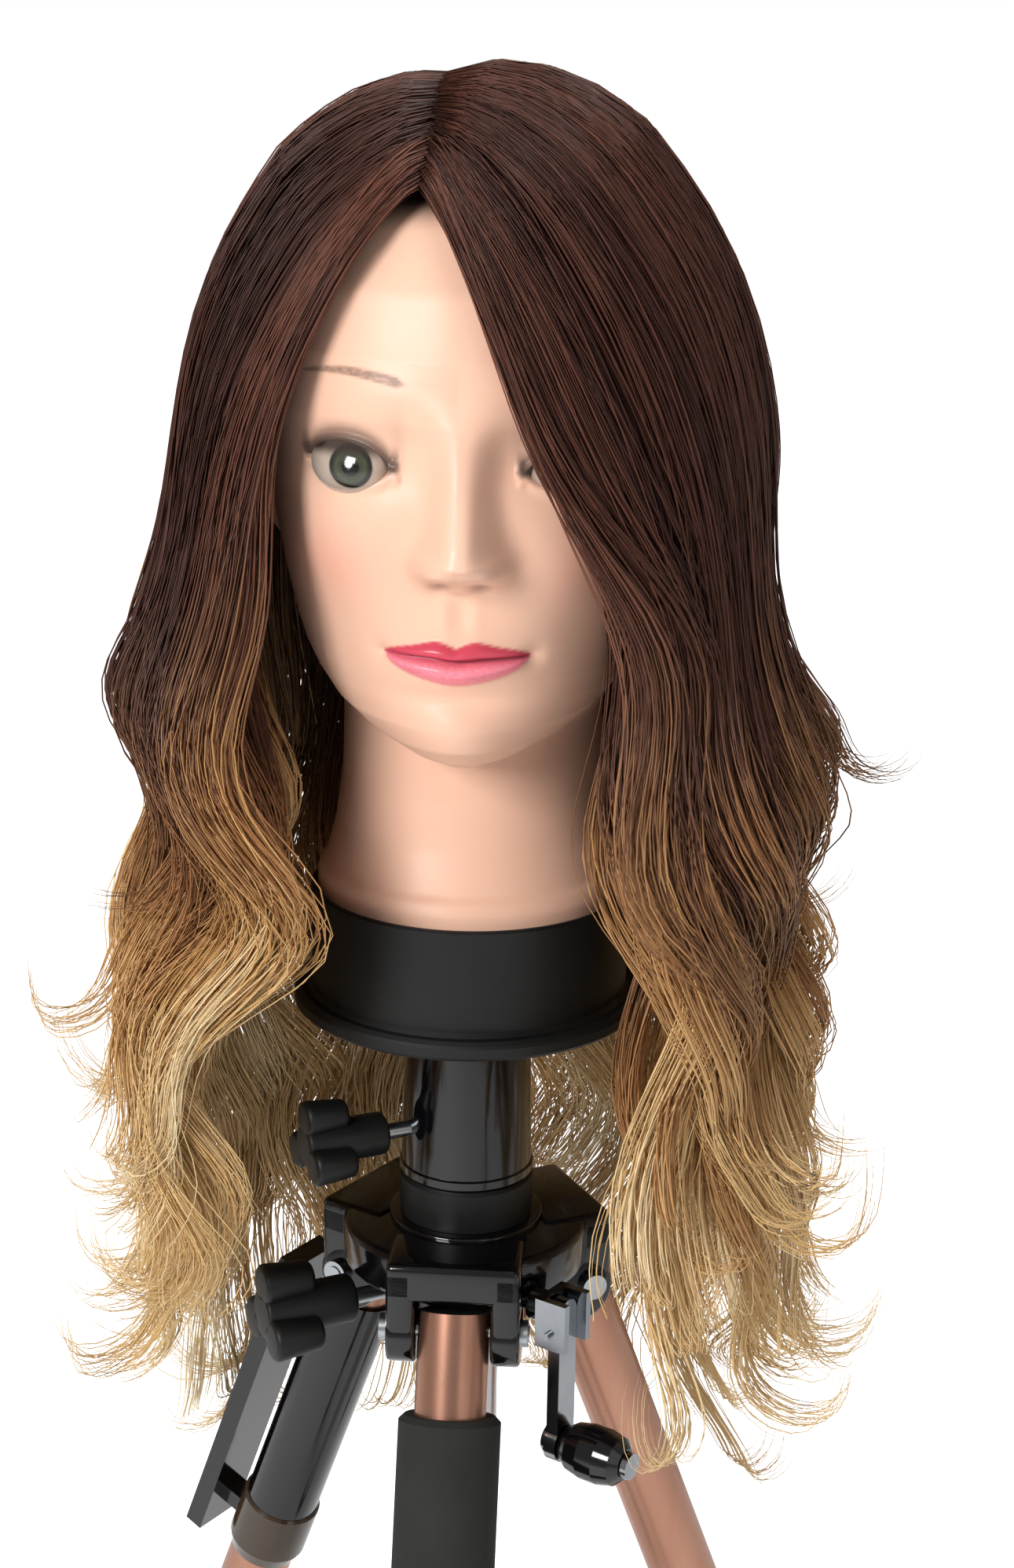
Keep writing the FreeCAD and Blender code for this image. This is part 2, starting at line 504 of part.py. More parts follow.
# ---- legs: each hangs from its hinge; local -Z runs down the leg ----
def legPlace(azimuth):
    turn = Rotation(Vector(0, 0, 1), azimuth)
    hinge = turn.multVec(Vector(0, -dimensions["hingeRadius"], hingeHeight))
    lean = Rotation(Vector(1, 0, 0), -dimensions["splay"])
    return Placement(Vector(hinge.x, hinge.y, hingeHeight), turn.multiply(lean))


def pipe(name, inner, outer, start, length):
    """A plain tube whose upper end is at 'start' down the leg."""
    body = turned(name, [(inner, 0), (outer, 0), (outer, length), (inner, length)])
    begin = start.number if isinstance(start, Size) else start
    span = length.number if isinstance(length, Size) else length
    return move(body, 0, 0, -begin - span)


tubeRadius = cell("tubeRadius")
crossBolt = Rotation(Vector(0, 1, 0), 90)
for side, azimuth in legAngles.items():
    place = legPlace(azimuth)
    upper = pipe("upper_%s" % side, tubeRadius - cell("tubeWall"), tubeRadius,
                 -dimensions["tubeAbove"], cell("upperLong"))
    hole = cylinder("upper_hole_%s" % side, cell("boltRadius") + cell("runningGap"), 60, -30, 0, 0, crossBolt)
    keep("%s_leg_upper_tube" % side, cut("upper_%s" % side, upper, hole), place)
    plugRod = turned("plug_%s" % side, [(0, 0), (tubeRadius - cell("tubeWall"), 0),
                                       (tubeRadius - cell("tubeWall"), 36), (0, 36)])
    move(plugRod, 0, 0, dimensions["tubeAbove"] - 36)
    plugHole = cylinder("plug_hole_%s" % side, cell("boltRadius") + cell("runningGap"), 60, -30, 0, 0,
                        crossBolt)
    keep("%s_leg_top_plug" % side, cut("plug_%s" % side, plugRod, plugHole), place)
    start = dimensions["collarStart"]
    collar = turned("collar_%s" % side, [
        (cell("lowerRadius") + cell("runningGap"), 0), (15.0, 0), (cell("collarRadius"), 3),
        (cell("collarRadius"), cell("collarLong") - 3), (15.5, cell("collarLong")),
        (tubeRadius, cell("collarLong")), (tubeRadius, cell("collarLong") - 21),
        (cell("lowerRadius") + cell("runningGap"), cell("collarLong") - 21)])
    move(collar, 0, 0, -start - dimensions["collarLong"])
    lugOne = block("lug1_%s" % side, 4, 10, 12, -10, -25.2, -start - 39)
    lugTwo = block("lug2_%s" % side, 4, 10, 12, 6, -25.2, -start - 39)
    lugHole = cylinder("lug_hole_%s" % side, 1.5, 40, -20, -21.2, -start - 33, crossBolt)
    keep("%s_leg_lock_collar" % side, cut("collar_%s" % side, fuse("collar_lugs_%s" % side, collar,
                                                                   lugOne, lugTwo), lugHole), place)
    keep("%s_leg_lever_pin" % side, cylinder("lever_pin_%s" % side, 1.5, 20, -10, -21.2, -start - 33,
                                             crossBolt), place)
    leverEye = cylinder("lever_eye_%s" % side, 3.6, 11.4, -5.7, -21.2, -start - 33, crossBolt)
    leverBar = block("lever_bar_%s" % side, 11.4, 4, 30, -5.7, -23.2, -start - 33)
    leverTab = block("lever_tab_%s" % side, 14, 5, 9, -7, -24.2, -start - 9)
    leverHole = cylinder("lever_hole_%s" % side, 1.55, 40, -20, -21.2, -start - 33, crossBolt)
    keep("%s_leg_lock_lever" % side, cut("lever_%s" % side, fuse("lever_blank_%s" % side, leverEye,
                                                               leverBar, leverTab), leverHole), place)
    lowerLong = cell("lowerEnd") - cell("lowerStart")
    lower = pipe("lower_%s" % side, cell("lowerRadius") - 1.2, cell("lowerRadius"),
                 dimensions["lowerStart"], lowerLong)
    keep("%s_leg_lower_tube" % side, lower, place)
    legEnd = hingeHeight / math.cos(math.radians(dimensions["splay"]))
    footTop = cell("footStart").number
    foot = turned("foot_%s" % side, [
        (0, 0), (cell("footRadius"), 0), (cell("footRadius"), legEnd + 8 - footTop - 12),
        (12.6, legEnd + 8 - footTop), (cell("lowerRadius"), legEnd + 8 - footTop),
        (cell("lowerRadius"), legEnd + 8 - dimensions["lowerEnd"]),
        (0, legEnd + 8 - dimensions["lowerEnd"])])
    move(foot, 0, 0, -legEnd - 8)
    floor = block("floor_%s" % side, 200, 200, 60)
    level = Rotation(Vector(1, 0, 0), dimensions["splay"])
    drop = level.multVec(Vector(-100, -100, -60))
    floor.Placement = Placement(Vector(drop.x, drop.y, drop.z - legEnd), level)
    keep("%s_leg_foot" % side, cut("foot_%s" % side, foot, floor), place)

foam = turned("foam_grip", [
    (tubeRadius, 0), (cell("foamRadius") - 2, 0), (cell("foamRadius"), 2),
    (cell("foamRadius"), cell("foamLong") - 2), (cell("foamRadius") - 2, cell("foamLong")),
    (tubeRadius, cell("foamLong"))])
move(foam, 0, 0, -dimensions["foamStart"] - dimensions["foamLong"])
keep("foam_grip", foam, legPlace(0))

# ---- tool sheath clipped on the left leg ----
sheathOuter = tubeRadius + cell("sheathWall")
keep("sheath_sleeve", pipe("sheath_sleeve", tubeRadius, sheathOuter, dimensions["sheathStart"],
                           cell("sheathLong")), legPlace(-120))
endStart = dimensions["sheathStart"] + dimensions["sheathLong"]
sheathEnd = turned("sheath_end", [
    (tubeRadius, 0), (sheathOuter - 1, 0), (sheathOuter + 1.2, 6), (sheathOuter + 1.2, cell("sheathEndLong") - 1),
    (sheathOuter + 0.2, cell("sheathEndLong")), (tubeRadius, cell("sheathEndLong"))])
move(sheathEnd, 0, 0, -endStart - dimensions["sheathEndLong"])
keep("sheath_end_collar", sheathEnd, legPlace(-120))
plateIn = dimensions["plateOffset"] - dimensions["plateThick"] / 2
plate = block("plate_blank", cell("plateWide"), cell("plateThick"), cell("plateLong"),
              -dimensions["plateWide"] / 2, -plateIn - dimensions["plateThick"],
              -dimensions["plateStart"] - dimensions["plateLong"])
bridge = block("plate_bridge", 10, plateIn - 10, 7, -5, -plateIn - 0.01, -dimensions["plateStart"] - 22)
bridgeLow = block("plate_bridge_low", 10, plateIn - 10, 7, -5, -plateIn - 0.01, -endStart - 20)
legCore = cylinder("plate_core", sheathOuter + 1.3, 400, z=-400)
keep("sheath_plate", cut("sheath_plate", fuse("plate_arms", plate, bridge, bridgeLow), legCore), legPlace(-120))

# ---- move to the row frame, check and write ----
shift = Placement(Vector(0, dimensions["axisBack"], 0), Rotation())
for thing in parts.values():
    thing.Placement = shift.multiply(thing.Placement)
doc.recompute()
for item in doc.Objects:
    if "Invalid" in item.State or "Error" in item.State:
        raise RuntimeError("%s did not build: %s" % (item.Name, item.State))
os.makedirs("parts", exist_ok=True)
for name, thing in parts.items():
    shape = thing.Shape
    if shape.isNull() or not shape.isValid() or not shape.Solids:
        raise RuntimeError("%s has no sound solid" % name)
    shape.exportStep("parts/%s.step" % name)
    print(name, len(shape.Solids), round(shape.Volume), [round(v, 1) for v in (
        shape.BoundBox.XMin, shape.BoundBox.XMax, shape.BoundBox.YMin, shape.BoundBox.YMax,
        shape.BoundBox.ZMin, shape.BoundBox.ZMax)])
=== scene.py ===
import bpy
import json
import math
import numpy as np
from mathutils import Matrix, Vector


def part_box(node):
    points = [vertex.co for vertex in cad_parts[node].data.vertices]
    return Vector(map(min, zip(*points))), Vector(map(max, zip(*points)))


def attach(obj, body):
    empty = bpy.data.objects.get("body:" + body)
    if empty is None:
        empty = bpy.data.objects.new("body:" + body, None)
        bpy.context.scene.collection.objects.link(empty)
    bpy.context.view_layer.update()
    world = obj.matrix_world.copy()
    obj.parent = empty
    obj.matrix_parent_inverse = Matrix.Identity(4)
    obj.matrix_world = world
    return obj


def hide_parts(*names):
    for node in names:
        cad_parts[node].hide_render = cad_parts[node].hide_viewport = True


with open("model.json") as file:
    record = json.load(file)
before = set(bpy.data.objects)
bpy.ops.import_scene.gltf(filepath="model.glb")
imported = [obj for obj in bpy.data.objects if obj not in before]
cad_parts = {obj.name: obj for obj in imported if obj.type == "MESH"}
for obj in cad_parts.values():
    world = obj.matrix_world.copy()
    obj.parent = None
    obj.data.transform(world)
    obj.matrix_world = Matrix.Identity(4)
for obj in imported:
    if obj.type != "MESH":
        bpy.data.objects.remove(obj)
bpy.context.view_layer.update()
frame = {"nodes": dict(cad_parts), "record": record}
rng = np.random.default_rng(7)

mm = 0.001
flangeThick = 7 * mm

# the column's axis and the top of the cup's flange give every height and place below
cupLow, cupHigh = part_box("holder_cup")
axisX = (cupLow.x + cupHigh.x) / 2
axisY = (cupLow.y + cupHigh.y) / 2
flangeZ = cupLow.z + flangeThick


def place(points):
    # millimetres from the column's axis and the flange's upper face, to the frame's metres
    points = np.asarray(points, float) * mm
    return points + np.array([axisX, axisY, flangeZ])


def turnHead(points, degrees):
    # the head stands a little turned on its cup
    angle = math.radians(degrees)
    out = np.array(points, float)
    out[..., 0] = points[..., 0] * math.cos(angle) - points[..., 1] * math.sin(angle)
    out[..., 1] = points[..., 0] * math.sin(angle) + points[..., 1] * math.cos(angle)
    return out


def clearSelection():
    for item in list(bpy.context.selected_objects):
        item.select_set(False)


def makeMesh(name, points, quads, tris):
    # a smooth mesh from arrays: four-sided faces first, then the triangles that close its ends
    mesh = bpy.data.meshes.new(name)
    tris = np.asarray(tris, int)
    quads = np.asarray(quads, int)
    mesh.vertices.add(len(points))
    mesh.vertices.foreach_set("co", np.asarray(points, np.float32).ravel())
    loops = np.concatenate([quads.ravel(), tris.ravel()])
    mesh.loops.add(len(loops))
    mesh.loops.foreach_set("vertex_index", loops.astype(np.int32))
    starts = np.concatenate([np.arange(len(quads)) * 4, len(quads) * 4 + np.arange(len(tris)) * 3])
    mesh.polygons.add(len(starts))
    mesh.polygons.foreach_set("loop_start", starts.astype(np.int32))
    mesh.update(calc_edges=True)
    mesh.validate()
    mesh.polygons.foreach_set("use_smooth", np.ones(len(mesh.polygons), bool))
    piece = bpy.data.objects.new(name, mesh)
    bpy.context.scene.collection.objects.link(piece)
    return piece


def storeAttribute(piece, name, values):
    attribute = piece.data.attributes.new(name, "FLOAT", "POINT")
    attribute.data.foreach_set("value", np.asarray(values, np.float32))


def hexColour(text):
    # a hex colour as written on a screen, to the linear values that a socket takes
    channels = [int(text[i:i + 2], 16) / 255 for i in (1, 3, 5)]
    return [c / 12.92 if c <= 0.04045 else ((c + 0.055) / 1.055) ** 2.4 for c in channels] + [1.0]


def addNode(tree, kind, settings=None, inputs=None, links=None):
    node = tree.nodes.new(kind)
    for key, value in (settings or {}).items():
        setattr(node, key, value)
    for key, value in (inputs or {}).items():
        node.inputs[key].default_value = value
    for key, source in (links or {}).items():
        tree.links.new(source, node.inputs[key])
    return node


def startMaterial(name, settings):
    material = bpy.data.materials.new(name)
    material.use_nodes = True
    tree = material.node_tree
    shader = tree.nodes["Principled BSDF"]
    for key, value in settings.items():
        shader.inputs[key].default_value = value
    where = addNode(tree, "ShaderNodeTexCoord").outputs["Object"]
    return material, tree, shader, where


def rampNode(tree, source, stops):
    ramp = addNode(tree, "ShaderNodeValToRGB", links={"Fac": source})
    elements = ramp.color_ramp.elements
    while len(elements) < len(stops):
        elements.new(0.5)
    for element, (position, colour) in zip(elements, stops):
        element.position = position
        element.color = hexColour(colour)
    return ramp.outputs["Color"]


def mixColour(tree, factor, one, two, blend="MIX"):
    # a colour mix has its factor on socket 0, its colours on 6 and 7, its result on 2
    mix = addNode(tree, "ShaderNodeMix", {"data_type": "RGBA", "blend_type": blend})
    for socket, value in ((0, factor), (6, one), (7, two)):
        if hasattr(value, "is_linked"):
            tree.links.new(value, mix.inputs[socket])
        elif isinstance(value, str):
            mix.inputs[socket].default_value = hexColour(value)
        else:
            mix.inputs[socket].default_value = value
    return mix.outputs[2]


def mapRange(tree, source, low, high, toLow, toHigh):
    limits = {"From Min": low, "From Max": high, "To Min": toLow, "To Max": toHigh}
    node = addNode(tree, "ShaderNodeMapRange", inputs=limits, links={"Value": source})
    return node.outputs["Result"]


def readAttribute(tree, name):
    return addNode(tree, "ShaderNodeAttribute", {"attribute_name": name}).outputs["Fac"]


def noiseNode(tree, where, scale, detail, **more):
    inputs = {"Scale": scale, "Detail": detail, **more}
    return addNode(tree, "ShaderNodeTexNoise", inputs=inputs, links={"Vector": where}).outputs["Fac"]


def liftSurface(tree, shader, height, strength, distance):
    lift = addNode(tree, "ShaderNodeBump", inputs={"Strength": strength, "Distance": distance},
                   links={"Height": height})
    tree.links.new(lift.outputs["Normal"], shader.inputs["Normal"])


surface = {
    "coatRoughness": 0.08, "metalSpecular": 0.5, "plasticSpecular": 0.36,
    "cloudScale": 28.0, "cloudDetail": 5.0, "cloudRoughness": 0.6, "fineDetail": 3.0, "bumpStrength": 0.35,
}


def finishSurface(material, base, roughness, metallic=0.0, grain=0.0006, bump=0.0, spread=0.08,
                  tint=None, coat=0.0, stretch=(1, 1, 1)):
    # common build of a hard surface: a soft noise breaks up colour and gloss, a fine one lifts the grain
    made, tree, shader, where = startMaterial(material, {
        "Metallic": metallic, "Coat Weight": coat, "Coat Roughness": surface["coatRoughness"],
        "Specular IOR Level": surface["metalSpecular"] if metallic else surface["plasticSpecular"]})
    mapping = addNode(tree, "ShaderNodeMapping", inputs={"Scale": stretch}, links={"Vector": where})
    mapping = mapping.outputs["Vector"]
    cloud = noiseNode(tree, mapping, surface["cloudScale"], surface["cloudDetail"],
                      Roughness=surface["cloudRoughness"])
    fine = noiseNode(tree, mapping, 1 / grain, surface["fineDetail"])
    colour = mixColour(tree, mapRange(tree, cloud, 0.35, 0.7, 0.0, 1.0), base, tint or base)
    tree.links.new(colour, shader.inputs["Base Color"])
    rough = mapRange(tree, cloud, 0.3, 0.7, roughness - spread / 2, roughness + spread)
    tree.links.new(rough, shader.inputs["Roughness"])
    if bump:
        liftSurface(tree, shader, fine, surface["bumpStrength"], bump)
    return made


print("materials")
finishes = {
    # injection-moulded ABS with a fine spark-eroded texture: soft grey sheen along edges
    "satin_black": finishSurface("mouldedAbsSatin", "#101111", 0.46, grain=0.0007, bump=0.00006,
                                 tint="#171818"),
    # polished nylon straight from a mirror-finished mould: deep black with sharp highlights
    "gloss_black": finishSurface("polishedNylonBlack", "#08080A", 0.09, grain=0.004, bump=0.00002,
                                 spread=0.07, tint="#0D0D10", coat=0.5),
    # zinc-plated steel, turned: pale grey with a brushed haze
    "steel": finishSurface("zincPlatedSteel", "#B9BDC0", 0.28, 1.0, 0.0004, 0.00003, tint="#A3A8AB"),
    "steel_tube": finishSurface("polishedSteelTube", "#C9CBCD", 0.14, 1.0, 0.0004, 0.00001, tint="#BABDC0",
                                stretch=(1, 1, 0.05)),
    "rack_steel": finishSurface("cutRackSteel", "#8E9193", 0.35, 1.0, 0.0004, 0.00002, tint="#7C7F82"),
    "brass": finishSurface("cutBrass", "#C9A75A", 0.3, 1.0, 0.0004, 0.00002, tint="#B8964C"),
    # chrome over a die casting: mirror with faint pitting
    "chrome": finishSurface("platedDieCasting", "#A9ACB0", 0.12, 1.0, 0.0009, 0.00004, tint="#8F9398"),
    # drawn aluminium tube, anodised copper-rose: long faint die lines, satin metal
    "rose_alu": finishSurface("roseAnodisedTube", "#C0907A", 0.27, 0.9, 0.0008, 0.00002, tint="#B38069",
                              stretch=(1, 1, 0.04)),
    # closed-cell EVA foam: matte charcoal with open pores
    "foam": finishSurface("evaFoamCharcoal", "#242522", 0.85, grain=0.0011, bump=0.00035, tint="#2F302D"),
    # smoked polycarbonate end collar, thick enough to read brown
    "smoke": finishSurface("smokedPolycarbonate", "#3A2D20", 0.12, grain=0.003, bump=0.00002, tint="#4C3C2A",
                           coat=0.4),
    "rubber": finishSurface("mouldedRubber", "#1B1B1B", 0.7, grain=0.0009, bump=0.00012, tint="#262626"),
    "hard_core": finishSurface("pressedCoreBoard", "#D8D2C4", 0.6, grain=0.0009, bump=0.0001, tint="#C9C2B2"),
}


skinPaint = {
    # the dark brown beside the blush is eye-shadow make-up, and also painted shade inside the nostrils and
    # over the inner eye corners
    "base": "#F3C5AB", "warm": "#EEBBA0", "blush": "#E69A86", "eyeshadowAndPaintedShade": "#5E4A42", "brow": "#5E4334",
    # the darker upper-lip pink is painted shade on the downward-facing upper lip, and the dark pink after it
    # is painted shade in the crease where the lips meet
    "liner": "#2E2420", "lip": "#F87F90", "lipLight": "#FF97A5", "upperLip": "#D24A5E", "lipCreaseShade": "#B43450",
    "scalp": "#2A1811", "lipShine": -0.16,
}
hairPaint = {
    "dark": [(0.0, "#3A1D14"), (0.25, "#4A2B1F"), (0.45, "#6E482F"), (0.65, "#A67248"), (0.82, "#D0A066"),
             (1.0, "#E6C084")],
    "light": [(0.0, "#6E4232"), (0.25, "#7E5440"), (0.45, "#A6784C"), (0.65, "#D8A868"), (0.82, "#EECB92"),
              (1.0, "#FBE5BA")],
}
eyePaint = {
    # share of the painted radius: pupil, iris, dark ring, then the white
    "rings": [(0.0, "#0B0D0A"), (0.19, "#10120E"), (0.23, "#3A3E2F"), (0.36, "#4B4F3D"), (0.44, "#2C2C23"),
              (0.5, "#221F1B"), (0.55, "#B8A79A"), (1.0, "#C4B2A6")],
    # lidShade is painted shade cast by the lids, and glint is a painted white highlight for the catchlight
    "streak": "#8A8E7C", "lidShade": "#3A302A", "glint": "#FFFFFF",
}


def skinMaterial():
    # plasticised PVC skin, cast and spray painted: soft satin, a little light passes into it
    made, tree, shader, where = startMaterial("castPvcSkin", {
        "IOR": 1.5, "Subsurface Weight": 0.12, "Subsurface Scale": 0.004, "Specular IOR Level": 0.42})
    shader.inputs["Subsurface Radius"].default_value = (1.0, 0.45, 0.3)
    cloud = noiseNode(tree, where, 22.0, 4.0)
    fine = noiseNode(tree, where, 900.0, 3.0)
    stretched = addNode(tree, "ShaderNodeMapping", inputs={"Scale": (0.25, 1, 1)}, links={"Vector": where})
    browHair = noiseNode(tree, stretched.outputs["Vector"], 700.0, 2.0)
    colour = mixColour(tree, mapRange(tree, cloud, 0.3, 0.7, 0.0, 0.5), skinPaint["base"], skinPaint["warm"])
    colour = mixColour(tree, readAttribute(tree, "blush"), colour, skinPaint["blush"])
    # eye-shadow make-up, with painted shade inside the nostrils and over the inner eye corners
    colour = mixColour(tree, readAttribute(tree, "eyeshadowAndPaintedShade"), colour, skinPaint["eyeshadowAndPaintedShade"])
    browed = mixColour(tree, readAttribute(tree, "brow"), colour, skinPaint["brow"])
    colour = mixColour(tree, mapRange(tree, browHair, 0.3, 0.6, 0.6, 1.0), colour, browed)
    colour = mixColour(tree, readAttribute(tree, "liner"), colour, skinPaint["liner"])
    mottle = mapRange(tree, fine, 0.3, 0.7, 0.0, 1.0)
    lipColour = mixColour(tree, mottle, skinPaint["lip"], skinPaint["lipLight"])
    # painted shade: the upper lip darker than the lower, and darker still in the crease where the lips meet
    lipColour = mixColour(tree, readAttribute(tree, "upperLip"), lipColour, skinPaint["upperLip"])
    lipColour = mixColour(tree, readAttribute(tree, "lipCreaseShade"), lipColour, skinPaint["lipCreaseShade"])
    lips = readAttribute(tree, "lips")
    colour = mixColour(tree, lips, colour, lipColour)
    colour = mixColour(tree, readAttribute(tree, "scalp"), colour, skinPaint["scalp"])
    tree.links.new(colour, shader.inputs["Base Color"])
    # the lips are glossier than the skin round them
    rough = mapRange(tree, cloud, 0.3, 0.7, 0.38, 0.5)
    gloss = addNode(tree, "ShaderNodeMath", {"operation": "MULTIPLY_ADD"}, {1: skinPaint["lipShine"]},
                    {0: lips, 2: rough})
    tree.links.new(gloss.outputs[0], shader.inputs["Roughness"])
    liftSurface(tree, shader, fine, 0.12, 0.0001)
    return made


def hairMaterial():
    # processed human hair, dyed dark at the root and lightened to gold: streaky satin strands
    made, tree, shader, _ = startMaterial("dyedHairStrands", {
        "Roughness": 0.5, "IOR": 1.55, "Specular IOR Level": 0.28})
    fade = readAttribute(tree, "fade")
    dark = rampNode(tree, fade, hairPaint["dark"])
    light = rampNode(tree, fade, hairPaint["light"])
    tree.links.new(mixColour(tree, readAttribute(tree, "tone"), dark, light), shader.inputs["Base Color"])
    return made


def eyeMaterial():
    # printed resin eye under a clear coat: grey-green iris and dark ring, with painted shade under the lids
    # and a fixed, painted white highlight for the catchlight
    made, tree, shader, where = startMaterial("printedResinEye", {
        "Roughness": 0.12, "Coat Weight": 0.4, "Coat Roughness": 0.03})
    streak = mapRange(tree, noiseNode(tree, where, 900.0, 2.0), 0.35, 0.65, 0.0, 0.25)
    colour = rampNode(tree, readAttribute(tree, "irisRadius"), eyePaint["rings"])
    colour = mixColour(tree, streak, colour, eyePaint["streak"], "SOFT_LIGHT")
    # painted shade from the lids, then a painted white highlight for the catchlight
    colour = mixColour(tree, readAttribute(tree, "lidShade"), colour, eyePaint["lidShade"])
    colour = mixColour(tree, readAttribute(tree, "glint"), colour, eyePaint["glint"])
    tree.links.new(colour, shader.inputs["Base Color"])
    return made


skin = skinMaterial()
hairFinish = hairMaterial()
eyeFinish = eyeMaterial()

slots = {row["node"]: row["material_slot"] for row in frame["record"]["subparts"]}
for node, shown in frame["nodes"].items():
    finish = finishes.get(slots[node], finishes["satin_black"])
    shown.data.materials.clear()
    shown.data.materials.append(finish)

# The head is one closed skin: level sections give the skull and neck, then features press it into a face.
# Millimetres, from the column's axis and the top of the cup's flange; the face looks along -Y.
head = {
    "turn": 2.4, "columns": 286, "crowding": 0.62, "axisY": 3.0, "base": 3.6, "crown": 314.1,
    "lastRow": 313.95,
    # rows of points: from, to, how many; over the crown they close up on a quarter circle
    "rows": [(3.6, 90, 76), (90, 118, 44), (118, 245, 176)], "topRows": (245, 314, 52),
    "neckShift": 9.0, "neckLean": 0.55, "jawBlend": 0.28, "squareness": 0.25,
}
sections = {
    # height: half width, front reach, back reach from the ear line
    "z": [94, 97, 100, 104, 110, 118, 126, 134, 146, 160, 180, 200, 220, 240, 260, 280, 295, 305, 311, 314],
    "wide": [2, 9, 18, 29, 40.5, 50, 55.5, 59.5, 63, 66, 69.5, 73, 75, 75, 71.5, 63, 51, 37, 22, 0.5],
    "front": [20, 50, 66, 76, 82.5, 85.5, 86.5, 87, 88.5, 89.5,
              90.5, 92, 94, 92.5, 86.5, 74, 58, 41, 24, 0.5],
    "back": [20, 40, 48, 53, 58, 63, 68, 73, 80, 86, 91, 94, 95, 93.5, 88, 76, 60, 43, 25, 0.5],
}
neckSections = {
    "z": [3.6, 8, 30, 42, 45.5, 48, 52, 62, 80, 100, 120, 150],
    "r": [56.2, 56.2, 56.2, 56.1, 55.2, 53.2, 52.0, 49.4, 47, 46.5, 46.5, 44],
}
face = {
    "eyeX": 35.4, "eyeZ": 205.5, "eyeHalfWide": 13.2, "eyeHalfHigh": 6.7, "eyeTilt": 1.2, "lowerLid": 0.78,
    "lidRoll": 1.5, "lidDepth": 4.2, "creaseUp": 3.6, "creaseDepth": 1.1,
    "browIn": 17.0, "browLong": 35.0, "browZ": 233.0, "browRise": 5.2, "browFall": 3.4, "browHalf": 1.9,
    "aside": 1.4, "noseOut": 23.0, "mouthZ": 144.0, "mouthHalfWide": 24.0, "upperLip": 6.2, "lowerLip": 8.6,
    "upperFull": 3.0, "lowerFull": 4.3, "lipPart": 2.4, "earOut": 9.0, "earY": 6.0, "earZ": 190.0,
}
nose = {
    # the ridge from lip to brow: how far out, and half its width
    "z": [165, 170, 174, 178, 184, 192, 202, 212, 222, 232],
    "out": [0, 7, 17.5, 21, 19, 14.5, 9.5, 6.5, 3.5, 1.0],
    "wideZ": [165, 172, 178, 186, 200, 215, 232],
    "wide": [10.5, 11, 10.8, 9.4, 8.2, 9.6, 15],
}


def bell(values, centre, width):
    return np.exp(-((values - centre) / width) ** 2)


def rise(values, low, high):
    t = np.clip((values - low) / (high - low), 0, 1)
    return t * t * (3 - 2 * t)


def blob(x, centreX, wide, z, centreZ, high, steep=1.0):
    # an oval hill of height 1; a steeper one has a flatter top
    return np.exp(-(((x - centreX) / wide) ** 2 + ((z - centreZ) / high) ** 2) ** steep)


def headSurface():
    # angle 0 looks out of the face; columns crowd towards it
    spread = np.linspace(-1, 1, head["columns"], endpoint=False)
    angles = math.pi * ((1 - head["crowding"]) * spread + head["crowding"] * spread ** 3)
    low, high, count = head["topRows"]
    top = low + (high - low) * np.sin(np.linspace(0, math.pi / 2, count))
    heights = np.concatenate([np.linspace(*row, endpoint=False) for row in head["rows"]] + [top])
    heights[-1] = head["lastRow"]
    angle, height = np.meshgrid(angles, heights)
    wide = np.interp(height, sections["z"], sections["wide"], left=1.0)
    front = np.interp(height, sections["z"], sections["front"], left=12.0)
    back = np.interp(height, sections["z"], sections["back"], left=12.0)
    reach = np.where(np.cos(angle) > 0, front, back)
    power = 2.0 + head["squareness"] * rise(height, 120, 190) * (np.cos(angle) > 0)
    sine, cosine = np.abs(np.sin(angle)), np.abs(np.cos(angle))
    skull = ((sine / wide) ** power + (cosine / reach) ** power) ** (-1 / power)
    neckR = np.interp(height, neckSections["z"], neckSections["r"], right=44.0)
    neckR = np.where(height > neckSections["z"][-1], 5.0, neckR)
    neck = neckR - head["neckShift"] * rise(height, 25, 70) * head["neckLean"] * np.cos(angle)
    # the jaw grows softly out of the neck, and above it only the skull counts
    both = np.logaddexp(head["jawBlend"] * skull, head["jawBlend"] * neck) / head["jawBlend"]
    jaw, temple = rise(height, 86, 96), rise(height, 138, 152)
    radius = (neck * (1 - jaw) + both * jaw) * (1 - temple) + skull * temple
    return radius * np.sin(angle), head["axisY"] - radius * np.cos(angle), height, angle


def pressNose(middle, z):
    # bridge, wings and nostrils, then the groove down to the lip
    bridge = np.interp(z, nose["z"], nose["out"])
    bridgeWide = np.interp(z, nose["wideZ"], nose["wide"])
    out = bridge * np.exp(-(middle / bridgeWide) ** 2.6) * face["noseOut"] / max(nose["out"])
    out += 7.0 * blob(middle, 11.0, 5.2, z, 174.5, 5.4)
    out -= 4.2 * blob(middle, 6.4, 3.4, z, 168.4, 2.2)
    out -= 0.8 * blob(middle, 0, 3.4, z, 159, 6.5)
    return out + 0.35 * blob(middle, 5.2, 2.4, z, 158, 7)


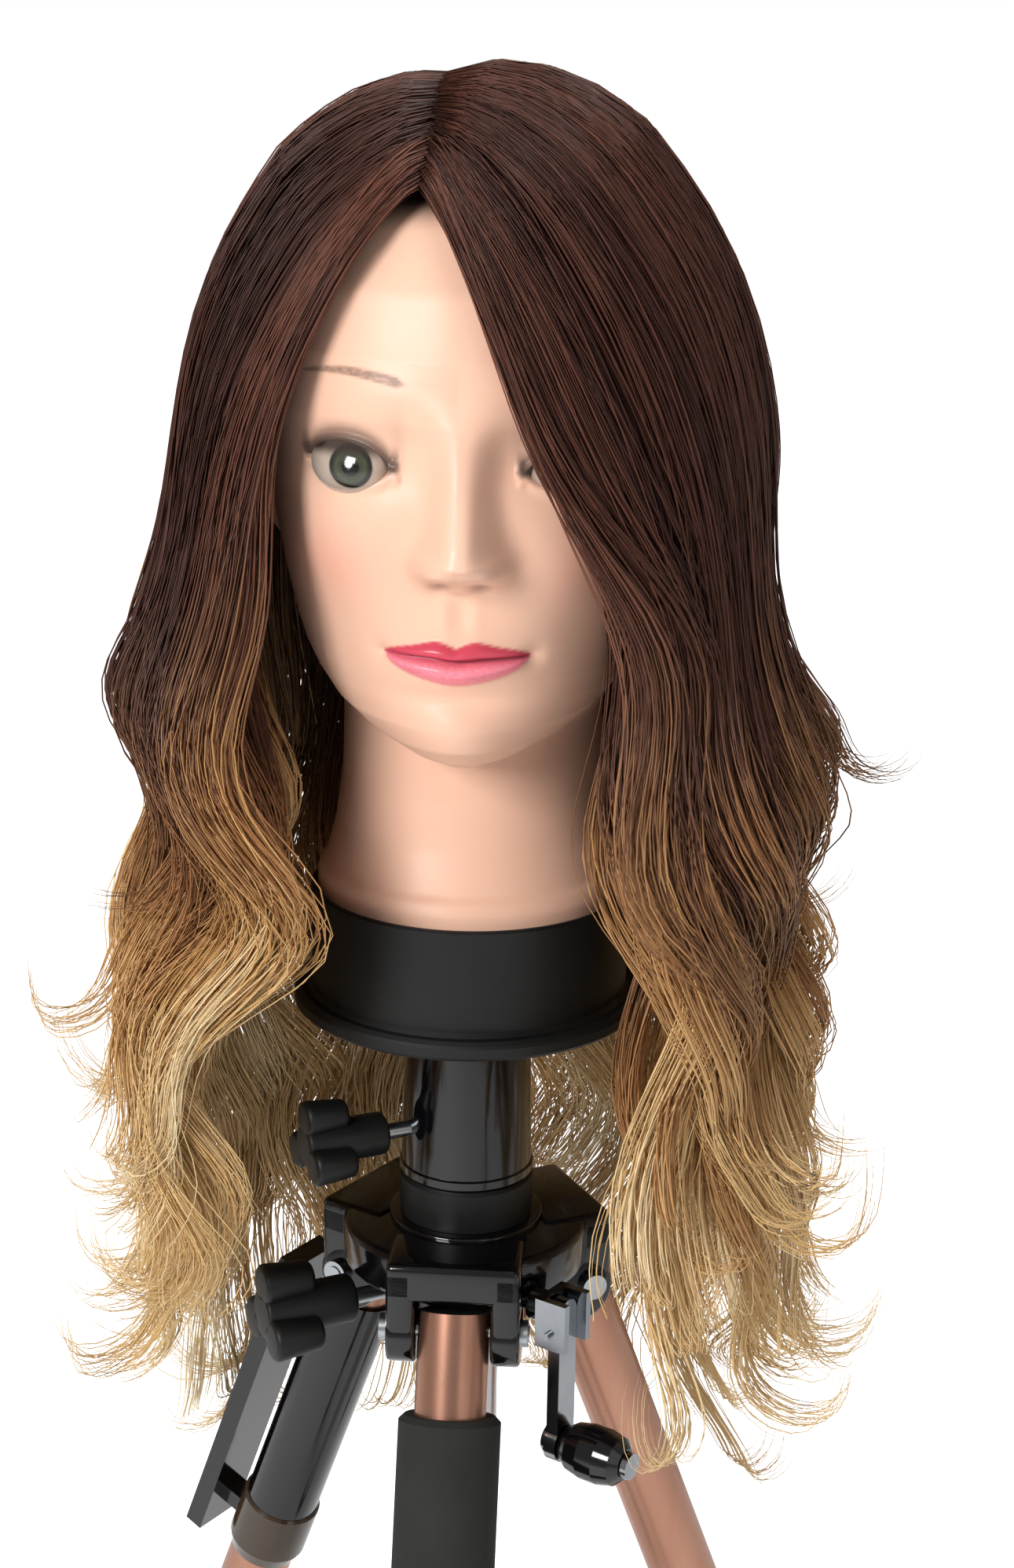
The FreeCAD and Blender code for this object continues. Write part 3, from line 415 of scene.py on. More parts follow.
def pressMouth(side, z):
    # muzzle, two lips that meet on one line, pressed corners, the hollow under the lip and the chin
    mouthZ, half = face["mouthZ"], face["mouthHalfWide"]
    out = 4.2 * blob(side, 0, 30, z, mouthZ, 17)
    across = np.clip(1 - (side / half) ** 2, 0, 1)
    bow = 0.86 + 0.24 * bell(side, 6.5, 5.5) - 0.1 * bell(side, 0, 2.6)
    upper = face["upperLip"] * np.sqrt(across) * bow
    lower = face["lowerLip"] * across ** 0.62
    line = mouthZ + 0.1 * (side / half) ** 2 - 0.8 * bell(side, 0, 7)
    v = z - line
    upShare = np.clip(v / np.maximum(upper, 0.4), 0, 1)
    downShare = np.clip(-v / np.maximum(lower, 0.4), 0, 1)
    fullUp = np.where((v >= 0) & (v <= upper), np.sin(np.pi * upShare ** 0.8), 0)
    fullDown = np.where((v < 0) & (v >= -lower), np.sin(np.pi * downShare ** 0.75), 0)
    out += (face["upperFull"] * fullUp + face["lowerFull"] * fullDown) * np.sqrt(across)
    out -= face["lipPart"] * bell(v, 0, 1.1) * rise(half + 2.5 - side, 0, 4)
    out -= 1.6 * blob(side, half + 1.0, 3.4, v, 0, 3.6)
    out -= 2.8 * blob(side, 0, 17, z, mouthZ - 15, 4.6)
    out += 3.6 * blob(side, 0, 15, z, 116, 10)
    # the upper lip is painted darker as shade, and the crease where the lips meet gets a line of painted
    # shade
    paint = {
        "lips": rise(np.where(v >= 0, upper - v, lower + v), -0.15, 0.55) * (across > 0),
        "upperLip": rise(v, -0.3, 0.5) * (across > 0),
        "lipCreaseShade": bell(v, 0, 0.7) * (across > 0) * 0.9,
    }
    return out, paint


def pressEyes(side, middle, z):
    # the skin sinks behind the eyeball, and the lids roll round it
    eyeX, eyeZ = face["eyeX"], face["eyeZ"]
    u = (side - eyeX) / face["eyeHalfWide"]
    w = z - eyeZ - face["eyeTilt"] * u
    lidUp = face["eyeHalfHigh"] * np.clip(1 - np.abs(u) ** 2.2, 0, 1) ** 0.75
    lidLow = face["eyeHalfHigh"] * face["lowerLid"] * np.clip(1 - np.abs(u) ** 2.0, 0, 1) ** 0.8
    inside = np.minimum(lidUp - w, w + lidLow)
    near = np.abs(u) < 1.25
    out = 4.6 * blob(side, eyeX, 17, z, eyeZ, 12.5, 1.15)
    out += np.where(near, face["lidRoll"] * bell(inside, -1.6, 1.9), 0)
    out -= np.where(near, face["lidDepth"] * rise(inside, -0.3, 1.4), 0)
    out -= np.where(np.abs(u) < 1.15, face["creaseDepth"] * bell(w - lidUp, face["creaseUp"], 0.9), 0)
    # eye-shadow make-up over the upper lid and a smudge of it at the outer corner; the patch over the inner
    # corner beside the nose is painted shade
    eyeshadowAndPaintedShade = 0.85 * np.where(near, rise(w, -1, 2) * rise(lidUp + 9.5 - w, 0, 8), 0)
    eyeshadowAndPaintedShade += 0.3 * blob(side, eyeX + 11, 8, z, eyeZ, 8) + 0.35 * blob(side, 15.5, 6, z, eyeZ + 8, 10)
    lash = bell(inside, -0.5, np.where(w > 1, 1.35, 0.6)) * (0.3 + 0.7 * rise(w, -2, 1.5))
    paint = {
        # eye-shadow make-up on the lids, then painted shade over the inner corners and inside the nostrils
        "eyeshadowAndPaintedShade": np.clip(eyeshadowAndPaintedShade, 0, 1) * rise(1.5 - np.abs(u), 0, 0.4)
        + 0.4 * blob(middle, 6.6, 3.6, z, 168.6, 2.2),    # and inside the nostrils
        "liner": np.where(near, lash, 0) * rise(1.25 - np.abs(u), 0, 0.15),
    }
    return out, paint


def paintBrow(side, z):
    along = (side - face["browIn"]) / face["browLong"]
    line = face["browZ"] + face["browRise"] * np.sin(np.clip(along, 0, 1) * 2.15) - face["browFall"] * along
    half = face["browHalf"] * np.clip(1 - along, 0, 1) ** 0.5 * rise(along, -0.03, 0.1)
    return 0.72 * rise(half + 0.5 - np.abs(z - line), 0, 1.0) * ((along > -0.03) & (along < 1))


def shapeFace(x, y, z, angle):
    # features push the skin along -Y, and each returns where its make-up and its painted shade go
    frontal = rise(np.cos(angle), 0.1, 0.5)
    middle = np.abs(x)
    side = np.abs(x + face["aside"])    # eyes and mouth sit a touch to the left of the nose
    out = 2.4 * blob(side, 27, 22, z, 228, 11)    # brow ridge
    out -= 6.5 * blob(side, 30, 21, z, 208, 13, 1.3)    # socket
    out += 3.2 * blob(side, 42, 20, z, 176, 17)    # cheekbone
    out -= 1.8 * blob(side, 40, 14, z, 148, 14)    # hollow under it
    out += pressNose(middle, z)
    mouth, paint = pressMouth(side, z)
    eyes, eyePaints = pressEyes(side, middle, z)
    paint.update(eyePaints)
    paint["brow"] = paintBrow(side, z)
    for key in ("lips", "lipCreaseShade", "eyeshadowAndPaintedShade", "liner", "brow"):
        paint[key] = paint[key] * (frontal > 0.3)
    paint["blush"] = 0.4 * blob(side, 44, 17, z, 172, 13)
    hairline = 284 - 60 * rise(np.abs(angle), 0.35, 1.15) - 70 * rise(np.abs(angle), 1.5, 2.4)
    paint["scalp"] = rise(z - hairline, -4, 4)
    y = y - (out + mouth + eyes) * frontal
    ear = blob(y, face["earY"], 10, z, face["earZ"], 23, 2) * (np.abs(np.cos(angle)) < 0.6)
    x = x + np.sign(x) * face["earOut"] * ear
    return x, y, z, paint


def wrapRows(rows, columns):
    # corner numbers of the faces of a closed ring of columns, row over row
    index = np.arange(rows * columns).reshape(rows, columns)
    return index, np.roll(index, -1, axis=1)


def buildHead():
    x, y, z, paint = shapeFace(*headSurface())
    rows, columns = x.shape
    points = np.stack([x, y, z], -1).reshape(-1, 3)
    index, right = wrapRows(rows, columns)
    quads = np.stack([index[:-1], right[:-1], right[1:], index[1:]], -1).reshape(-1, 4)
    crown = np.append(points[index[-1]].mean(0)[:2], head["crown"])
    points = np.vstack([points, crown, [0, 0, head["base"]]])
    last = rows * columns
    tris = [(index[-1, c], right[-1, c], last) for c in range(columns)]
    tris += [(right[0, c], index[0, c], last + 1) for c in range(columns)]
    piece = makeMesh("head_skin", place(turnHead(points, head["turn"])), quads, tris)
    for key, values in paint.items():
        storeAttribute(piece, key, np.append(values.reshape(-1), [0, 0]))
    piece.data.materials.append(skin)
    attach(piece, "head")
    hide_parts("head_shell")


eye = {
    # a shallow resin dome behind the lids, wider than high, its painted iris, and a painted highlight for its
    # catchlight
    "radius": 13.0, "depth": 12.6, "wide": 1.06, "high": 0.84, "rings": 48, "around": 96,
    "inward": 0.3, "y": -73.3, "drop": 0.2, "follow": 0.3,
    "irisAside": 0.6, "irisUp": 0.4, "paintRadius": 13.6, "glintUp": 1.6, "glintWide": 1.25, "glintHigh": 1.5,
}


def buildEye(name, side):
    centreX = side * (face["eyeX"] - eye["inward"]) - face["aside"]
    centre = np.array([centreX, eye["y"], face["eyeZ"] - eye["drop"]])
    lean = np.linspace(0, math.pi, eye["rings"] + 1)[1:-1]
    turn = np.linspace(0, 2 * math.pi, eye["around"], endpoint=False)
    t, a = np.meshgrid(lean, turn, indexing="ij")
    x = centre[0] + eye["radius"] * eye["wide"] * np.sin(t) * np.cos(a)
    z = centre[2] + eye["radius"] * eye["high"] * np.sin(t) * np.sin(a)
    # the dome leans back with the cheek towards its outer corner
    y = centre[1] - eye["depth"] * np.cos(t) + eye["follow"] * side * (x - centre[0])
    poles = [centre - [0, eye["depth"], 0], centre + [0, eye["depth"], 0]]
    points = np.vstack([np.stack([x, y, z], -1).reshape(-1, 3)] + poles)
    index, nxt = wrapRows(*t.shape)
    quads = np.stack([index[:-1], index[1:], nxt[1:], nxt[:-1]], -1).reshape(-1, 4)
    last = t.size
    tris = [(index[0, c], nxt[0, c], last) for c in range(eye["around"])]
    tris += [(nxt[-1, c], index[-1, c], last + 1) for c in range(eye["around"])]
    piece = makeMesh(name, place(turnHead(points, head["turn"])), quads, tris)
    across, up = points[:, 0] - centre[0], points[:, 2] - centre[2]
    away = np.hypot(across - eye["irisAside"], up - eye["irisUp"])
    rear = points[:, 1] > centre[1]
    storeAttribute(piece, "irisRadius", np.clip(away / eye["paintRadius"], 0, 1) + rear)
    # a painted white highlight for the catchlight, and painted shade under the upper lid and towards the
    # corners
    spark = np.hypot(across / eye["glintWide"], (up - eye["glintUp"]) / eye["glintHigh"])
    storeAttribute(piece, "glint", (1 - rise(spark, 0.75, 1.15)) * (points[:, 1] < centre[1]))
    storeAttribute(piece, "lidShade", 0.9 * rise(up, 2.2, 6.2) + 0.35 * rise(np.abs(across), 7, 13))
    piece.data.materials.append(eyeFinish)
    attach(piece, "head")


print("head")
buildHead()
buildEye("eye_left_dome", -1)
buildEye("eye_right_dome", 1)

# Hair: locks that leave the parting, follow the skull to ear height, then hang and curl.
hair = {
    "locks": 120, "perLock": 55, "strandRadius": 0.305, "spread": 14.0, "clearLeft": -62.0, "lowest": -262.0,
    "topSteps": 11, "hangSteps": 22, "curlSteps": 10, "earZ": 207.0, "axisY": 4.0,
    "waveAmp": 25.0, "waveLong": 146.0, "waveStart": 152.0, "waveGrow": 90.0,
    "partFront": -0.15, "partBack": -0.08, "partLean": (-42, 108), "egg": (103.0, 108.0, 121.0),
    "firstRight": 13.5, "firstLeft": 38.5, "frizz": 0.03, "pieceTris": 195000,
}
# locks with a curl of their own: angle from the face, lowest height, way out, curl radius and turn
accents = [
    (-80, 62, 0.05, 26, 2.3), (-66, 14, -0.2, 24, 3.4), (-60, -108, 0.1, 25, 3.7), (-92, -84, 0.3, 24, 3.2),
    (86, 100, 0.0, 17, 3.0), (92, 46, 0.1, 21, 3.3), (56, -122, 0.2, 26, 3.5), (74, -98, 0.1, 25, 3.8),
    (44, -60, -0.3, 22, 4.0), (150, -214, 0.6, 26, 4.2), (-150, -206, -0.6, 24, 4.0),
]
hairReach = {
    # height: how far the outermost and the innermost hair stands from the column's axis
    "outerZ": [-300, -220, -140, -60, 0, 50, 100, 150, 207],
    "outer": [131, 129, 126, 122, 122, 119, 115, 110, 106],
    "innerZ": [-300, -220, -140, -45, -20, 20, 100, 150, 207],
    "inner": [129, 122, 110, 107, 88, 76, 74, 78, 84],
}
# the circle that knobs, crank and legs need free when the head turns
clear = {
    "knobs": 106.0, "knobsTop": -49.0, "legsTop": -180.0, "legSpread": 0.42, "most": 133.0,
    "z": [-49, -12, 62, 90], "radius": [106, 71, 66, 40],
}
# dyed length: where the dark root ends, and over what height it turns to gold
dye = {"startRight": 186.0, "startLeft": 204.0, "longRight": 248.0, "longLeft": 208.0, "longBack": 190.0,
       "backEarlier": 20.0, "strandJitter": 12.0, "lockJitter": 30.0, "lightShare": 0.22}


def reachAt(z, layer):
    inner = np.interp(z, hairReach["innerZ"], hairReach["inner"])
    outer = np.interp(z, hairReach["outerZ"], hairReach["outer"])
    return inner + (outer - inner) * layer


def keepClear(z):
    below = clear["knobs"] + np.maximum(clear["legsTop"] - z, 0) * clear["legSpread"]
    return np.where(z < clear["knobsTop"], np.minimum(below, clear["most"]),
                    np.interp(z, clear["z"], clear["radius"]))


def column(spec, key):
    return spec[key][:, None]


def topPath(spec):
    # from the parting over the skull to ear height, along great circles of one egg shape
    q = np.linspace(0, 1, hair["topSteps"])[None, :]
    side, p = column(spec, "side"), column(spec, "p")
    leanStart, leanLong = hair["partLean"]
    lean = np.radians(leanStart + leanLong * p)
    partX = hair["partFront"] + (hair["partBack"] - hair["partFront"]) * p ** 0.6
    root = np.stack([partX + 0.006 * side + 0.012 * column(spec, "stray"), np.sin(lean), np.cos(lean)], -1)
    root /= np.linalg.norm(root, axis=-1, keepdims=True)
    endAngle = np.radians(column(spec, "endAngle"))
    level = np.stack([np.sin(endAngle), -np.cos(endAngle), np.zeros_like(endAngle)], -1)
    between = np.arccos(np.clip((root * level).sum(-1, keepdims=True), -1, 1))
    share = q[..., None]
    way = (np.sin((1 - share) * between) * root + np.sin(share * between) * level) / np.sin(between)
    inner = 0.905 - 0.10 * q
    scale = inner + (1 - inner) * column(spec, "layer")
    # hair lies flat in the parting, then stands up a little beside it
    scale *= 1 - 0.028 * np.exp(-q / 0.06) + np.where(side > 0, 0.016, 0.004) * bell(q, 0.2, 0.2)
    scale += column(spec, "b") * 0.022 * q
    return np.array([0, hair["axisY"], hair["earZ"]]) + way * np.array(hair["egg"]) * scale[..., None]


def eased(path, first, last, times):
    # rounds a turn off by averaging each point with its two neighbours
    for _ in range(times):
        path[:, first:last] = (path[:, first - 1:last - 1] + 2 * path[:, first:last]
                               + path[:, first + 1:last + 1]) / 4
    return path


def strandPaths(spec):
    top = topPath(spec)
    earZ, axisBack, steps = hair["earZ"], hair["axisY"], hair["topSteps"]
    side, layer, low, lift = (column(spec, key) for key in ("side", "layer", "low", "lift"))
    hang = np.linspace(0, 1, hair["hangSteps"] + 1)[None, 1:]
    curl = np.linspace(0, 1, hair["curlSteps"] + 1)[None, 1:]
    tip = np.concatenate([np.zeros_like(hang), curl], 1)
    z = earZ - (earZ - low) * np.concatenate([hang, np.ones_like(curl)], 1)
    start = np.hypot(top[:, -1, 0], top[:, -1, 1] - axisBack)[:, None]
    radius = start + (reachAt(z, layer) - reachAt(earZ, layer)) * rise(-z, -earZ, -150)
    # the front locks swing back from the face below the eyes
    endAngle = np.radians(column(spec, "endAngle"))
    frontness = np.exp(-np.abs(np.abs(column(spec, "endAngle")) - 18) / 20)
    swing = np.where(side > 0, 27, 4) * frontness * rise(-z, -215, -140)
    angle = endAngle + side * np.radians(swing)
    # waves grow on the way down, the lock gathers, and its end hooks
    grow = rise(-z, -hair["waveStart"], hair["waveGrow"] - hair["waveStart"])
    phase = column(spec, "phase") + 2 * math.pi * (hair["waveStart"] - z) / column(spec, "waveLong")
    amp = column(spec, "amp") * grow
    gather = 1 - 0.5 * rise(-z, -150, -40) - 0.28 * rise(-z, -60, -low) - 0.1 * tip
    bend = tip * column(spec, "curlTurn")
    hook = column(spec, "curlRadius") * (1 - np.cos(bend))
    across = amp * np.sin(phase) + column(spec, "a") * hair["spread"] * gather
    across += hook * np.sin(column(spec, "curlWay"))
    outward = 0.6 * amp * np.cos(phase + 0.6) + column(spec, "b") * (2.4 + 3.2 * grow) * gather
    outward += hook * np.cos(column(spec, "curlWay"))
    flare = np.where(side > 0, 13 * bell(z, 84, 24) - 6 * bell(z, 152, 30), 17 * bell(z, 112, 30))
    outward += flare * np.sin(endAngle) ** 2 * layer
    z = z - column(spec, "curlRadius") * np.sin(bend)
    radius = np.maximum(radius + outward, keepClear(z) + 1.5 + 5 * lift)
    radius = np.minimum(radius, 141 + 24 * np.sin(endAngle) ** 2 - 4 * lift)
    angle = angle + across * rise(-z, -215, -150) / radius
    hanging = np.stack([radius * np.sin(angle), axisBack - radius * np.cos(angle), z], -1)
    path = np.concatenate([top, hanging], 1)
    path = eased(path, steps - 6, steps + 10, 5)    # the turn at ear height
    path = eased(path, steps + 9, path.shape[1] - 1, 2)
    return shortened(path, column(spec, "ends"))


def shortened(path, ends):
    # every strand stops at its own share of the lock, so that the ends thin out
    steps = path.shape[1]
    at = np.linspace(0, 1, steps)[None, :] * ends * (steps - 1)
    before = np.minimum(at.astype(int), steps - 2)
    share = (at - before)[..., None]
    rows = np.arange(len(path))[:, None]
    return path[rows, before] * (1 - share) + path[rows, before + 1] * share


def lockSpecs():
    # side is 1 on the right as seen from in front, -1 on the left; p runs back along the parting
    count = hair["locks"]
    side = np.where(np.arange(count) % 2 == 0, 1.0, -1.0)
    p = ((np.arange(count) // 2 + rng.uniform(0.2, 0.8, count)) / (count / 2)) ** 1.12
    first = np.where(side > 0, hair["firstRight"], hair["firstLeft"])
    endAngle = side * (first + (179 - first) * p ** 0.92)
    layer = rng.choice([1.0, 0.8, 0.55, 0.25], count, p=[0.42, 0.26, 0.2, 0.12])
    layer = np.where(p < 0.05, 1.0, layer)
    backness = rise(np.abs(endAngle), 70, 160)
    low = 2 - 118 * backness - 118 * rng.uniform(0, 1, count) ** 1.15 - 14 * (side > 0) * (1 - backness)
    low -= 46 * backness * (rng.uniform(0, 1, count) < 0.35)
    # the locks in front on the knobs' side stop above the clamping knob
    low = np.where((endAngle < 0) & (endAngle > -57), np.maximum(low, hair["clearLeft"]), low)
    locks = {
        "side": side, "p": p, "endAngle": endAngle, "layer": layer, "low": low,
        "phase": rng.normal(0, 0.35, count) + np.abs(endAngle) / 26.0 + np.where(side > 0, 0.6, 2.4),
        "waveLong": hair["waveLong"] * rng.uniform(0.86, 1.16, count),
        "amp": hair["waveAmp"] * rng.uniform(0.7, 1.3, count), "lift": rng.uniform(0, 1, count),
        "curlTurn": rng.uniform(1.6, 4.2, count), "curlRadius": rng.uniform(12, 27, count),
        "curlWay": rng.normal(0, 0.8, count),
    }
    for angle, *values in accents:
        lock = np.argmin(np.abs(endAngle - angle))
        for key, value in zip(("low", "curlWay", "curlRadius", "curlTurn", "layer"), values + [1.0]):
            locks[key][lock] = value
    return locks


def spreadStrands(locks):
    # each strand is its lock with a place in the lock's round section and small differences of its own
    each = hair["perLock"]
    count = hair["locks"] * each
    spec = {key: np.repeat(values, each) for key, values in locks.items()}
    turn = rng.uniform(0, 2 * math.pi, count)
    out = np.sqrt(rng.uniform(0, 1, count))
    spec["a"], spec["b"] = out * np.cos(turn), out * np.sin(turn)
    spec["stray"] = rng.normal(0, 1, count)
    first = np.where(spec["side"] > 0, hair["firstRight"], hair["firstLeft"]) - 1
    spec["p"] = np.clip(spec["p"] + rng.normal(0, 0.03, count), 0.0, 1.0)
    swayed = np.abs(spec["endAngle"]) + rng.normal(0, 3.0, count)
    spec["endAngle"] = spec["side"] * np.minimum(np.maximum(swayed, first + rng.uniform(0, 3, count)), 181)
    spec["layer"] = np.clip(spec["layer"] + rng.normal(0, 0.07, count), 0.05, 1.03)
    spec["low"] = np.maximum(spec["low"], hair["lowest"])
    spec["ends"] = 1 - 0.34 * rng.uniform(0, 1, count) ** 1.3
    spec["phase"] = spec["phase"] + rng.normal(0, 0.12, count)
    spec["amp"] = spec["amp"] * rng.uniform(0.9, 1.1, count)
    spec["curlTurn"] = spec["curlTurn"] * rng.uniform(0.93, 1.07, count)
    spec["curlRadius"] = spec["curlRadius"] * rng.uniform(0.92, 1.08, count)
    frizzy = rng.uniform(0, 1, count) < hair["frizz"]    # a few hairs stand out of their lock
    spec["layer"] = np.where(frizzy, np.minimum(spec["layer"] + 0.1, 1.07), spec["layer"])
    lockTone = np.where(rng.uniform(0, 1, hair["locks"]) < dye["lightShare"],
                        rng.uniform(0.55, 1.0, hair["locks"]), rng.uniform(0.0, 0.38, hair["locks"]))
    spec["dyeStart"] = np.repeat(rng.normal(0, dye["lockJitter"], hair["locks"]), each)
    spec["tone"] = np.clip(np.repeat(lockTone, each) + rng.normal(0, 0.13, count), 0, 1)
    return spec


def unit(vectors):
    return vectors / (np.linalg.norm(vectors, axis=-1, keepdims=True) + 1e-9)


def tubeStrands(name, paths, thick, tone, fade):
    # each strand is a closed three-sided tube with a pinched tip
    count, steps = paths.shape[:2]
    along = unit(np.gradient(paths, axis=1))
    outward = unit(paths * np.array([1, 1, 0]) - np.array([0, hair["axisY"], 0]))
    across = unit(np.cross(along, outward))
    up = np.cross(across, along)
    share = np.linspace(0, 1, steps)
    taper = np.clip(np.minimum(share / 0.03 + 0.4, (1 - share) / 0.16 + 0.06), 0, 1)
    r = (thick[:, None] * taper)[..., None]
    turns = [2 * math.pi * k / 3 for k in range(3)]
    points = np.stack([paths + (across * math.cos(turn) + up * math.sin(turn)) * r for turn in turns], 2)
    index = np.arange(count * steps * 3).reshape(count, steps, 3)
    nxt = np.roll(index, -1, axis=2)
    quads = np.stack([index[:, :-1], nxt[:, :-1], nxt[:, 1:], index[:, 1:]], -1).reshape(-1, 4)
    tris = np.concatenate([index[:, 0, ::-1], index[:, -1, :]])
    piece = makeMesh(name, place(turnHead(points.reshape(-1, 3), head["turn"])), quads, tris)
    storeAttribute(piece, "tone", np.repeat(tone, steps * 3))
    storeAttribute(piece, "fade", np.repeat(fade.reshape(-1), 3))
    piece.data.materials.append(hairFinish)
    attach(piece, "head")
    return piece


def fadeAlong(paths, spec):
    # 0 at the dark root, 1 where the length is fully gold
    right = column(spec, "side") > 0
    back = rise(np.abs(column(spec, "endAngle")), 70, 120)
    begin = np.where(right, dye["startRight"], dye["startLeft"]) - dye["backEarlier"] * back
    length = np.where(right, dye["longRight"], dye["longLeft"]) * (1 - back) + dye["longBack"] * back
    jitter = rng.normal(0, dye["strandJitter"], len(paths))[:, None] + column(spec, "dyeStart")
    return np.clip((begin - paths[..., 2] + jitter) / length, 0, 1)


print("hair")
strands = spreadStrands(lockSpecs())
paths = strandPaths(strands)
fade = fadeAlong(paths, strands)
thick = hair["strandRadius"] * rng.uniform(0.75, 1.25, len(paths))
strandTris = (paths.shape[1] - 1) * 6 + 2
# piece: side, from and to angle off the face, and the node that it stands for
hairPieces = {
    "hair_left_front": (-1, 0, 72, "hair_crown"), "hair_left_side": (-1, 72, 122, "hair_left_drape"),
    "hair_left_back": (-1, 122, 360, "hair_back_drape"), "hair_right_front": (1, 0, 68, None),
    "hair_right_side": (1, 68, 120, "hair_right_drape"), "hair_right_back": (1, 120, 360, None),
}
offFace = np.abs(strands["endAngle"])
for name, (side, start, stop, node) in hairPieces.items():
    chosen = np.flatnonzero((strands["side"] == side) & (offFace >= start) & (offFace < stop))
    parts = max(1, math.ceil(len(chosen) / (hair["pieceTris"] // strandTris)))
    for number, rows in enumerate(np.array_split(chosen, parts)):
        label = name if number == 0 else "%s_%d" % (name, number + 1)
        piece = tubeStrands(label, paths[rows], thick[rows], strands["tone"][rows], fade[rows])
        if number == 0 and node:
            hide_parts(node)
    print(name, len(chosen), "strands in", parts)

# Tripod hub and knobs, with the rounded edges of moulded nylon; millimetres under the flange.
hub = {
    "deckRadius": 46.5, "deckLow": -112.0, "deckHigh": -94.5, "bossRadius": 29.0, "bossHigh": -92.2,
    "barrelRadius": 25.0, "barrelLow": -135.0, "slabWide": 49.5, "slabIn": 22.0, "slabOut": 50.5,
    "slabLow": -108.5, "slabHigh": -93.5, "cheekWide": 10.9, "cheekIn": 29.0, "cheekLow": -124.0,
    "earRadius": 13.0, "earOut": 38.0, "sink": 2.0, "azimuths": (0, 120, -120),
    "edge": 2.6, "deckEdge": 3.0, "boreEdge": 1.0, "earEdge": 1.6,
}
knobs = {
    "sleeve_knob": {"body": "sleeve_clamp", "drop": 56.0, "start": 34.0, "neck": 15.0, "lobe": 17.0,
                    "grow": 1.0},
    "lock_knob": {"body": "column_clamp", "drop": 121.0, "start": 47.0, "neck": 16.0, "lobe": 20.0,
                  "grow": 1.15},
}
knobShape = {
    "azimuth": -60, "lobes": 3, "neckRadius": 8.0, "lobeRadius": 7.0, "lobeTip": 5.4, "lobeOut": 10.4,
    "edge": 1.8, "lobeEdge": 2.34,
}


def soften(piece, edge, segments=4):
    clearSelection()
    bpy.context.view_layer.objects.active = piece
    piece.select_set(True)
    bpy.ops.object.transform_apply(location=True, rotation=True, scale=True)
    bevel = piece.modifiers.new("edge", "BEVEL")
    bevel.width = edge * mm
    bevel.segments = segments
    bevel.limit_method = "ANGLE"
    bpy.ops.object.modifier_apply(modifier="edge")
    bpy.ops.object.shade_smooth_by_angle(angle=math.radians(40))
    return piece


def columnPoint(azimuth, out, aside, height):
    # out and aside are counted from the column's axis, at an azimuth that is 0 in front
    turn = math.radians(azimuth)
    x = aside * math.cos(turn) + out * math.sin(turn)
    y = aside * math.sin(turn) - out * math.cos(turn)
    return Vector((axisX + x * mm, axisY + y * mm, flangeZ + height * mm))


def roundBlock(azimuth, wide, inner, outer, low, high, edge, aside=0.0):
    centre = columnPoint(azimuth, (inner + outer) / 2, aside, (low + high) / 2)
    bpy.ops.mesh.primitive_cube_add(size=1, location=centre, rotation=(0, 0, math.radians(azimuth)))
    bpy.context.object.scale = (wide * mm, (outer - inner) * mm, (high - low) * mm)
    return soften(bpy.context.object, edge)


def roundDisc(radius, low, high, edge):
    bpy.ops.mesh.primitive_cylinder_add(vertices=128, radius=radius * mm, depth=(high - low) * mm,
                                        location=columnPoint(0, 0, 0, (low + high) / 2))
    return soften(bpy.context.object, edge)


def joined(name, pieces, finish):
    clearSelection()
    for piece in pieces:
        piece.select_set(True)
    bpy.context.view_layer.objects.active = pieces[0]
    bpy.ops.object.join()
    whole = bpy.context.object
    whole.name = name
    bpy.ops.object.transform_apply(location=True, rotation=True, scale=True)
    whole.data.materials.clear()
    whole.data.materials.append(finish)
    return whole


def buildFork(azimuth):
    # a slab that runs out of the deck, and two cheeks that end in round ears about the hinge
    pieces = [roundBlock(azimuth, hub["slabWide"], hub["slabIn"], hub["slabOut"], hub["slabLow"],
                         hub["slabHigh"], hub["edge"])]
    for way in (-1, 1):
        aside = way * (hub["slabWide"] - hub["cheekWide"]) / 2
        pieces.append(roundBlock(azimuth, hub["cheekWide"], hub["cheekIn"], hub["slabOut"], hub["cheekLow"],
                                 hub["slabHigh"] - hub["sink"], hub["edge"], aside))
        bpy.ops.mesh.primitive_cylinder_add(
            vertices=64, radius=hub["earRadius"] * mm, depth=hub["cheekWide"] * mm,
            location=columnPoint(azimuth, hub["earOut"], aside, hub["cheekLow"]),
            rotation=(0, math.pi / 2, math.radians(azimuth)))
        pieces.append(soften(bpy.context.object, hub["earEdge"]))
    return pieces


def buildHub():
    pieces = [roundDisc(hub["deckRadius"], hub["deckLow"], hub["deckHigh"], hub["deckEdge"]),
              roundDisc(hub["bossRadius"], hub["deckHigh"] - hub["sink"], hub["bossHigh"], hub["boreEdge"]),
              roundDisc(hub["barrelRadius"], hub["barrelLow"], hub["deckLow"] + hub["sink"], hub["boreEdge"])]
    for azimuth in hub["azimuths"]:
        pieces += buildFork(azimuth)
    return joined("hub_moulding", pieces, finishes["gloss_black"])


